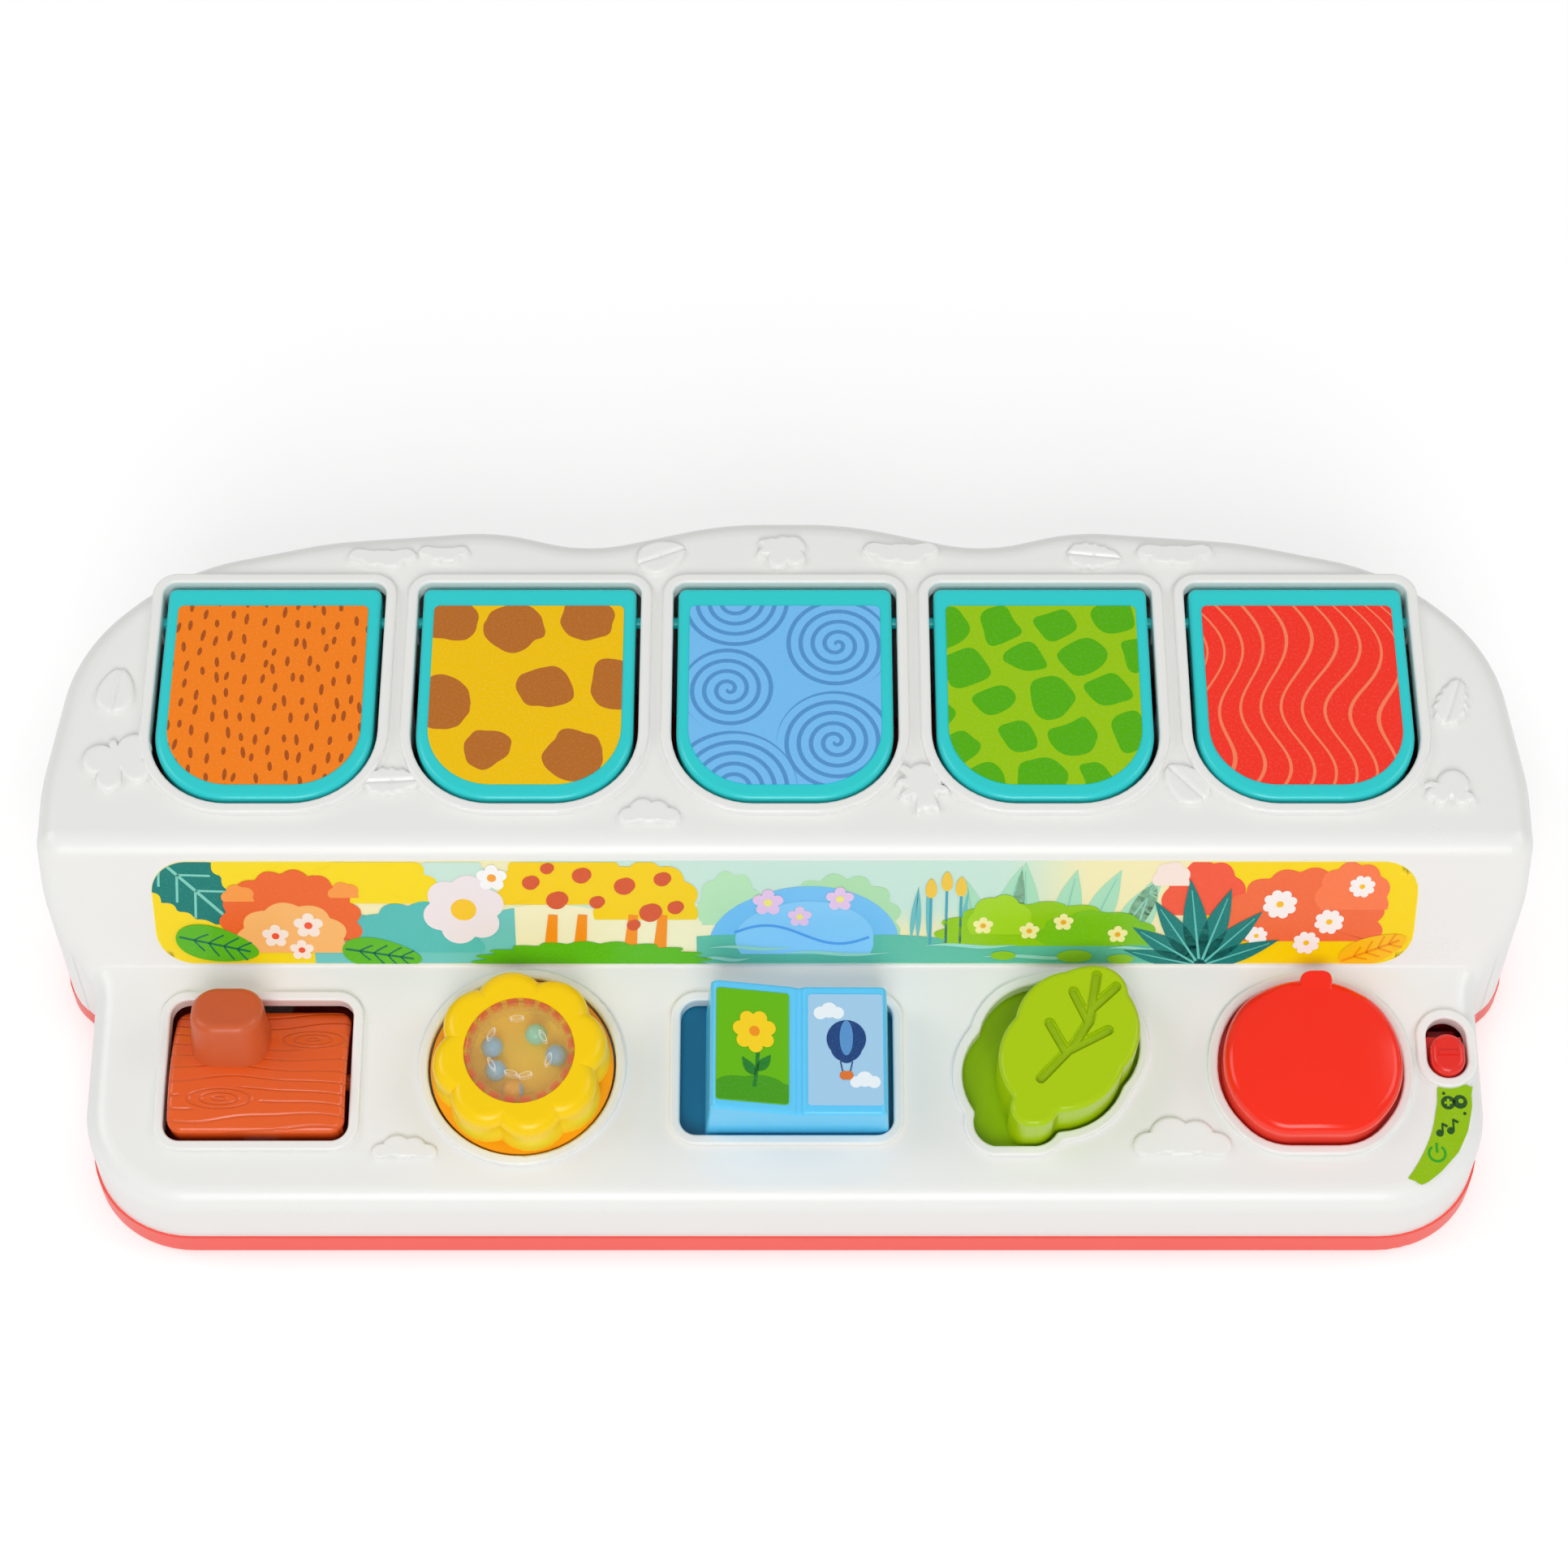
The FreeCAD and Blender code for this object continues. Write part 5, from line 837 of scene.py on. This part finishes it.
animal("fox", 2, rgb(246, 96, 48), (4.1, -40.4, -21.8), 1.4,
       (0, -33.5, -18.8, 6.0, IVORY), (7.2, -35.6, -17.6, 3.4, IVORY),
       (0, -32.4, -23.6, 1.9, (50, 34, 32)), (8.0, -47.4, -13.6, 2.6, (255, 225, 205)))

# ------------------------------------ latches and guides
# Plain off-white acetal slides, rails and bearings, and plated steel screws and spring.
# The latches slide under the decks, and the screws join casing, tray and battery door.

slide_white = moulded("slide_white", rgb(232, 231, 226), 0.45, 1.4)
slide_white.dress(*[f"latch_{n}" for n in range(1, 6)], "log_bearings", "dial_bearing",
                  "dial_retainer", "book_rails", "leaf_rails", "button_bridge")
plated = moulded("plated_steel", rgb(190, 192, 196), 0.30, 2.0, metallic=1.0)
plated.dress("battery_screw", "case_screws", "battery_contacts", "button_spring")

# ------------------------------------ log
# A brown-orange rocker shaped like half a log, glossy, with wood grain cut into it.
# Its square grip is a softer brown, pressed over two pins.

log_orange = moulded("log_orange", rgb(234, 94, 30), 0.22, 0.5, 0.9)
across, up, _ = log_orange.slope(*FRONT_DECK, bay=-2)
weave = (across * 0.12 + up * 0.2).sine() * 0.9 + (across * 0.31).sine() * 0.25
grain_lines = abs(((up + weave) / 3.0) % 1.0 - 0.5).inside(0.07, 0.08)
for x, y in ((12.5, 6.5), (-8.5, -9.0)):
    far = distance((across - x) / 3.1, up - y)
    knot = abs((far / 0.95) % 1.0 - 0.5).inside(0.14, 0.12) * far.inside(2.9, 0.2)
    grain_lines = knot.high(grain_lines * (1 - far.inside(3.1, 0.2)))
grained = log_orange.blend(grain_lines * 0.16, log_orange.tint, rgb(180, 60, 18))
log_orange.feed(Base_Color=grained)
log_orange.bump(log_orange.fine * 0.04 - grain_lines, 0.00016)
log_orange.dress("log_rocker")
moulded("knob_brown", rgb(212, 94, 46), 0.36, 1.2).dress("log_knob")

# ------------------------------------ flower dial
# Yellow petals round an amber dish, under a peach-clear dome that keeps five loose beads.
# The flower turns on a bearing under the lower deck.

petal_yellow = moulded("petal_yellow", rgb(255, 212, 0), 0.24, 0.5, 0.97, specular=0.3)
_, _, off = petal_yellow.slope(*FRONT_DECK)
# the petals' lower side walls are painted a lighter yellow: a painted highlight where the lamps
# fall on them
lit_low_side = off.inside(6.5, 2.5) * 0.7
petal_yellow.feed(Base_Color=petal_yellow.blend(lit_low_side, petal_yellow.tint, rgb(255, 236, 60)))
petal_yellow.dress("flower_petals")
dish_amber = moulded("dish_amber", rgb(255, 168, 0), 0.3, 0.8, 0.9)
across, up, _ = dish_amber.slope(*FRONT_DECK, bay=-1)
radius = distance(across, up)
# inside the rim the dish is painted a lighter peach: a painted light that makes up for the shadow
# the clear dome casts on it
lit_bowl = dish_amber.blend(radius.inside(13.2, 0.1), dish_amber.tint, rgb(255, 180, 92))
dish_amber.feed(Base_Color=dish_amber.blend(radius.inside(3.0, 0.1), lit_bowl, rgb(226, 170, 70)))
dish_amber.dress("flower_dish")

# the dome: clear, with a rosy toothed rim and a ring of small raised ovals, whose edges are painted
# pale and less clear as a painted highlight
window_clear = Finish("window_clear", rgb(255, 176, 136), 0.07, specular=0.6)
across, up, _ = window_clear.slope(*FRONT_DECK, bay=-1)
rim = 1 - distance(across, up).inside(11.5, 0.1)
teeth = abs((up.angle(across) * 20.0) % 1.0 - 0.5).inside(0.34, 0.04) * rim
oval_highlights = 0.0
for angle, reach in ((95, 7.8), (30, 6.4), (-20, 7.4), (-75, 6.6), (-105, 6.2), (-150, 7.2),
                     (150, 7.6)):
    ray = math.radians(angle)
    aside = across * math.cos(ray) + up * math.sin(ray) - reach
    along = up * math.cos(ray) - across * math.sin(ray)
    edge = distance(aside / 0.55, along / 1.5)
    oval_highlights = abs(edge - 1.0).inside(0.14, 0.1).high(oval_highlights)
tint = window_clear.blend(teeth, rgb(255, 176, 136), rgb(244, 110, 84))
# the oval edges are painted pale: a painted highlight on the dome
window_clear.feed(Base_Color=window_clear.blend(oval_highlights, tint, rgb(255, 250, 240)),
                  Alpha=0.17 + oval_highlights * 0.4 + teeth * 0.3, Roughness=0.06 + oval_highlights * 0.2)
window_clear.dress("flower_window")
bead_blue = rgb(60, 214, 255)
beads = moulded("beads", bead_blue, 0.3, 0.3)
across, up, _ = beads.slope(*FRONT_DECK, bay=-1)
left = across.inside(0.0, 0.1)
right_back = (1 - left) * (1 - up.inside(3.0, 0.1))
left_front = left * (1 - across.inside(-3.8, 0.1)) * up.inside(-4.0, 0.1)
mixed = beads.blend(right_back, bead_blue, rgb(80, 250, 226))
beads.feed(Base_Color=beads.blend(left_front, mixed, rgb(236, 196, 60)))
beads.dress("rattle_beads")

# ------------------------------------ book
# A light blue block shaped as an open book, with a sunk printed page on each side.
# The plate under it fills the slot that it slides in; it is the book's blue painted darker, a
# painted shade.

book_blue = moulded("book_blue", rgb(96, 208, 255), 0.24, 0.5, 0.96, specular=0.4)
book_blue.dress("book_block")
# the plate is the book's blue painted darker: a painted shade under the book
moulded("plate_blue", rgb(0, 116, 152), 0.35).dress("book_plate")


def page_place(across_deck, high, degrees):
    """Maps points of a page that leans about its middle line to places on the front deck."""
    turn = math.radians(degrees)
    place = on_slope(*FRONT_DECK)

    def spot(across, up, off):
        x = across_deck + across * math.cos(turn) + off * math.sin(turn)
        return place(x, up - 0.4, high - across * math.sin(turn) + off * math.cos(turn))

    return spot


PAGE = ((0.0, 0.0), (8.6, 13.5), 0.6)
STEM_INK = (30, 130, 40)
CLOUD_INK = (240, 250, 255)
NAVY_INK = (30, 70, 130)
for name, tint in (("left", rgb(106, 190, 8)), ("right", rgb(166, 210, 240))):
    page = moulded(f"page_{name}", tint, 0.3, 0.3, 0.97, specular=0.2)
    page.dress(f"book_label_{name}")

# left page: a flower on a stalk, over a mound of grass
left_page = Print(page_place(-7.55, 15.9, 15.08), *PAGE)
left_page.bushes((0.6, -12.6, 11, 5.0, 7, 0.12, (70, 160, 10), 1))
stalk = stacked(0.4 + 0.8 * np.sin(np.linspace(0, 2, 14)), np.linspace(-10, 1, 14))
left_page.ribbon(stalk, 0.9, STEM_INK, 2)
left_page.blade((0.9, -7), 140, 5.4, 2.4, -20, STEM_INK, 2)
left_page.blade((0.9, -6), 40, 5.4, 2.4, 20, STEM_INK, 2)
left_page.flower((0.4, 3.6), 7, 3.5, 1.75, (255, 216, 20), (248, 150, 20), 3)
left_page.finish("page_flower", ink, "book")

# right page: a balloon with its basket, between two clouds
right_page = Print(page_place(14.1, 13.3, 0.6), *PAGE)
for middle, discs, tint, layer in (
        ((-3.8, 9.0), [(-2, 0, 1.6), (0, 0.7, 1.9), (2, 0, 1.5)], CLOUD_INK, 1),
        ((4.4, -8.0), [(-2, 0, 1.4), (0, 0.7, 1.9), (2.2, 0, 1.5)], CLOUD_INK, 1),
        ((0.2, 1.8), [(0, 0.8, 4.6), (0, -1.2, 3.7), (0, -3.2, 2.0)], NAVY_INK, 2)):
    right_page.patch(middle, discs_outline(discs), tint, layer)
gore = discs_outline([(0, 1.0, 4.3)]) * np.array((0.36, 1.0))
right_page.patch((0.2, 1.8), gore, (90, 150, 210), 3)
for side in (-1, 1):
    rope = np.array([(0.2 + side * 1.4, -3.0), (0.2 + side * 0.9, -5.4)])
    right_page.ribbon(rope, 0.3, NAVY_INK, 3)
basket = discs_outline([(-0.5, 0, 1.1), (0.5, 0, 1.1)], 40)
right_page.patch((0.2, -6.4), basket, (226, 120, 50), 3)
right_page.finish("page_balloon", ink, "book")

# ------------------------------------ leaf slider
# A thick lime leaf with rounded lobes and sunk veins, on a plate of the same green painted darker,
# a painted shade.
# The plate slides on two rails under the deck.

leaf_green = moulded("leaf_green", rgb(174, 208, 0), 0.22, 0.5, 0.96, specular=0.3)
across, up, _ = leaf_green.slope(*FRONT_DECK, bay=1)
vein = 0.0
for x0, y0, x1, y1 in ((-2.6, -7.4, 5.6, 1.2), (5.6, 1.2, 9.2, 7.0), (9.2, 7.0, 11.2, 18.0),
                       (3.0, 0.0, -0.2, 6.2), (4.6, -0.2, 13.4, 4.4), (9.0, 6.4, 5.6, 14.0),
                       (10.4, 10.4, 15.6, 15.2)):
    wide, tall = x1 - x0, y1 - y0
    share = ((across - x0) * wide + (up - y0) * tall) / (wide ** 2 + tall ** 2)
    share = share.high(0.0).low(1.0)
    far = distance(across - x0 - share * wide, up - y0 - share * tall)
    vein = far.inside(0.85, 0.22).high(vein)
# the sunk veins are painted darker on top of the bump that sinks them: a painted shade in their
# grooves
leaf_green.feed(Base_Color=leaf_green.blend(vein * 0.45, leaf_green.tint, rgb(134, 170, 0)))
leaf_green.bump(leaf_green.fine * 0.05 - vein, 0.0004)
leaf_green.dress("leaf_block")
# the plate is the leaf's green painted darker: a painted shade under the leaf
moulded("plate_green", rgb(148, 190, 0), 0.32, specular=0.25).dress("leaf_plate")

# ------------------------------------ apple button
# A glossy domed red cap with a small leaf at its back, sprung from below.
# A bridge under the deck guides it.

apple_red = moulded("apple_red", rgb(255, 44, 18), 0.16, 0.3, 0.95, specular=0.4)
_, _, off = apple_red.slope(*FRONT_DECK)
# the cap's lower side walls are painted a lighter pink: a painted highlight where the lamps fall on
# them
lit_low_side = off.inside(5.6, 1.2) * 0.5
apple_red.feed(Base_Color=apple_red.blend(lit_low_side, apple_red.tint, rgb(255, 92, 76)))
turn = full_turn(96)
cosine, sine = np.cos(turn), np.sin(turn)
leaf_x = 3.9 * np.sign(cosine) * np.abs(cosine) ** 0.625
leaf_y = 3.7 * np.sign(sine) * np.abs(sine) ** 0.625
leaf = stacked(leaf_x + 0.1 * leaf_y, leaf_y)
tab = (-50.5, 35.52, 10.0)
raised("apple_leaf", tab, (125.5, 18.0), leaf, 1.7, 0.35, None, apple_red, "apple")
apple_red.dress("apple_button")

# ------------------------------------ mode switch
# A small red thumb slider in a dark red switch body, with a curved lime label beside it.
# The label's marks stand for off, music and play.

moulded("switch_red", rgb(236, 40, 28), 0.3).dress("switch_knob")
moulded("switch_body", rgb(176, 22, 26), 0.4).dress("slide_switch")
LIME = (150, 196, 0)
MARK = (40, 84, 30)
POWER = (52, 168, 40)
moulded("mode_lime", rgb(*LIME), 0.32, 0.3, 0.97, specular=0.2).dress("mode_label")
marks = Print(on_slope(*FRONT_DECK), (154.0, -16.0), (12.0, 16.0), 1.0)

# the lime strip: its middle line and width, smoothed between stations
share = np.linspace(0, 1, 49)
stations = [0, 0.04, 0.2, 0.4, 0.6, 0.8, 0.92, 0.98, 1]
line_x = [157.6, 157.6, 157.4, 156.2, 154.4, 151.2, 148.6, 147.2, 146.8]
line_y = [-4.5, -5.4, -9.4, -14.6, -19.2, -23.9, -26.6, -27.7, -28.0]
widths = [6.6, 8.0, 8.2, 8.1, 7.2, 5.4, 4.4, 3.4, 1.0]
spine = stacked(np.interp(share, stations, line_x), np.interp(share, stations, line_y))
eased = 0.25 * spine[:-2] + 0.5 * spine[1:-1] + 0.25 * spine[2:]
smooth = np.vstack([spine[:1], eased, spine[-1:]])
marks.ribbon(smooth, np.interp(share, stations, widths), LIME, 0)

# off: a broken ring with a bar at its gap
ring = np.radians(np.linspace(125, 415, 40))
arc = stacked(152.4 + 1.9 * np.cos(ring), -21.4 + 1.9 * np.sin(ring))
marks.ribbon(arc, 0.6, POWER, 1)
marks.ribbon(np.array([(152.4, -21.2), (152.4, -18.8)]), 0.6, POWER, 2)

# music: two notes
for x, y, high in ((154.0, -15.4, 2.4), (156.6, -14.8, 2.8)):
    top = y + high - 1.0
    marks.patch((x - 0.6, y - 1.0), discs_outline([(0, 0, 0.9)], 24), MARK, 1)
    marks.ribbon(np.array([(x + 0.1, y - 1.0), (x + 0.1, top)]), 0.45, MARK, 2)
    marks.ribbon(np.array([(x, top - 0.1), (x + 1.3, top - 0.8)]), 0.6, MARK, 3)

# play: two round buttons, one with a cross
for x, y, size in ((155.9, -8.9, 1.7), (158.7, -8.7, 1.7), (155.0, -6.6, 0.4), (159.6, -11.6, 0.4)):
    marks.patch((x, y), discs_outline([(0, 0, size)], 32), MARK, 1)
marks.ribbon(np.array([(155.0, -8.9), (156.8, -8.9)]), 0.6, LIME, 2)
marks.ribbon(np.array([(155.9, -9.8), (155.9, -8.0)]), 0.6, LIME, 3)
marks.patch((158.9, -8.5), discs_outline([(0, 0, 0.6)], 20), LIME, 2)
marks.finish("mode_marks", ink, "case")

# ------------------------------------ battery box and electrics
# Three dry cells with steel ends lie in the tray. A small green board stands on four posts
# of it, and the speaker has a black paper cone.

cell_wrap = moulded("cell_wrap", rgb(48, 50, 56), 0.26, 0.5)
across, _, _ = cell_wrap.place()
end = 1 - abs(across).inside(23.8, 0.1)
band = cell_wrap.blend(across.inside(-14.0, 0.1), cell_wrap.tint, rgb(196, 150, 70))
cell_wrap.feed(Base_Color=cell_wrap.blend(end, band, rgb(200, 200, 204)), Metallic=end)
cell_wrap.dress("battery_cells")
board_green = moulded("board_green", rgb(26, 104, 58), 0.32, 0.8)
across, depth, _ = board_green.place()
track = abs((across / 2.4 + (depth * 0.7).sine() * 0.2) % 1.0 - 0.5).inside(0.12, 0.02)
board_green.feed(Base_Color=board_green.blend(track * 0.6, board_green.tint, rgb(60, 150, 84)))
board_green.dress("circuit_board")
speaker_paper = moulded("speaker_paper", rgb(30, 30, 32), 0.7, 2.0)
across, depth, _ = speaker_paper.place()
ring = distance(across + BAY_PITCH, depth - 32.0)
speaker_paper.bump((ring * 1.6).sine(), 0.0003)
speaker_paper.dress("speaker")

low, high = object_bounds()
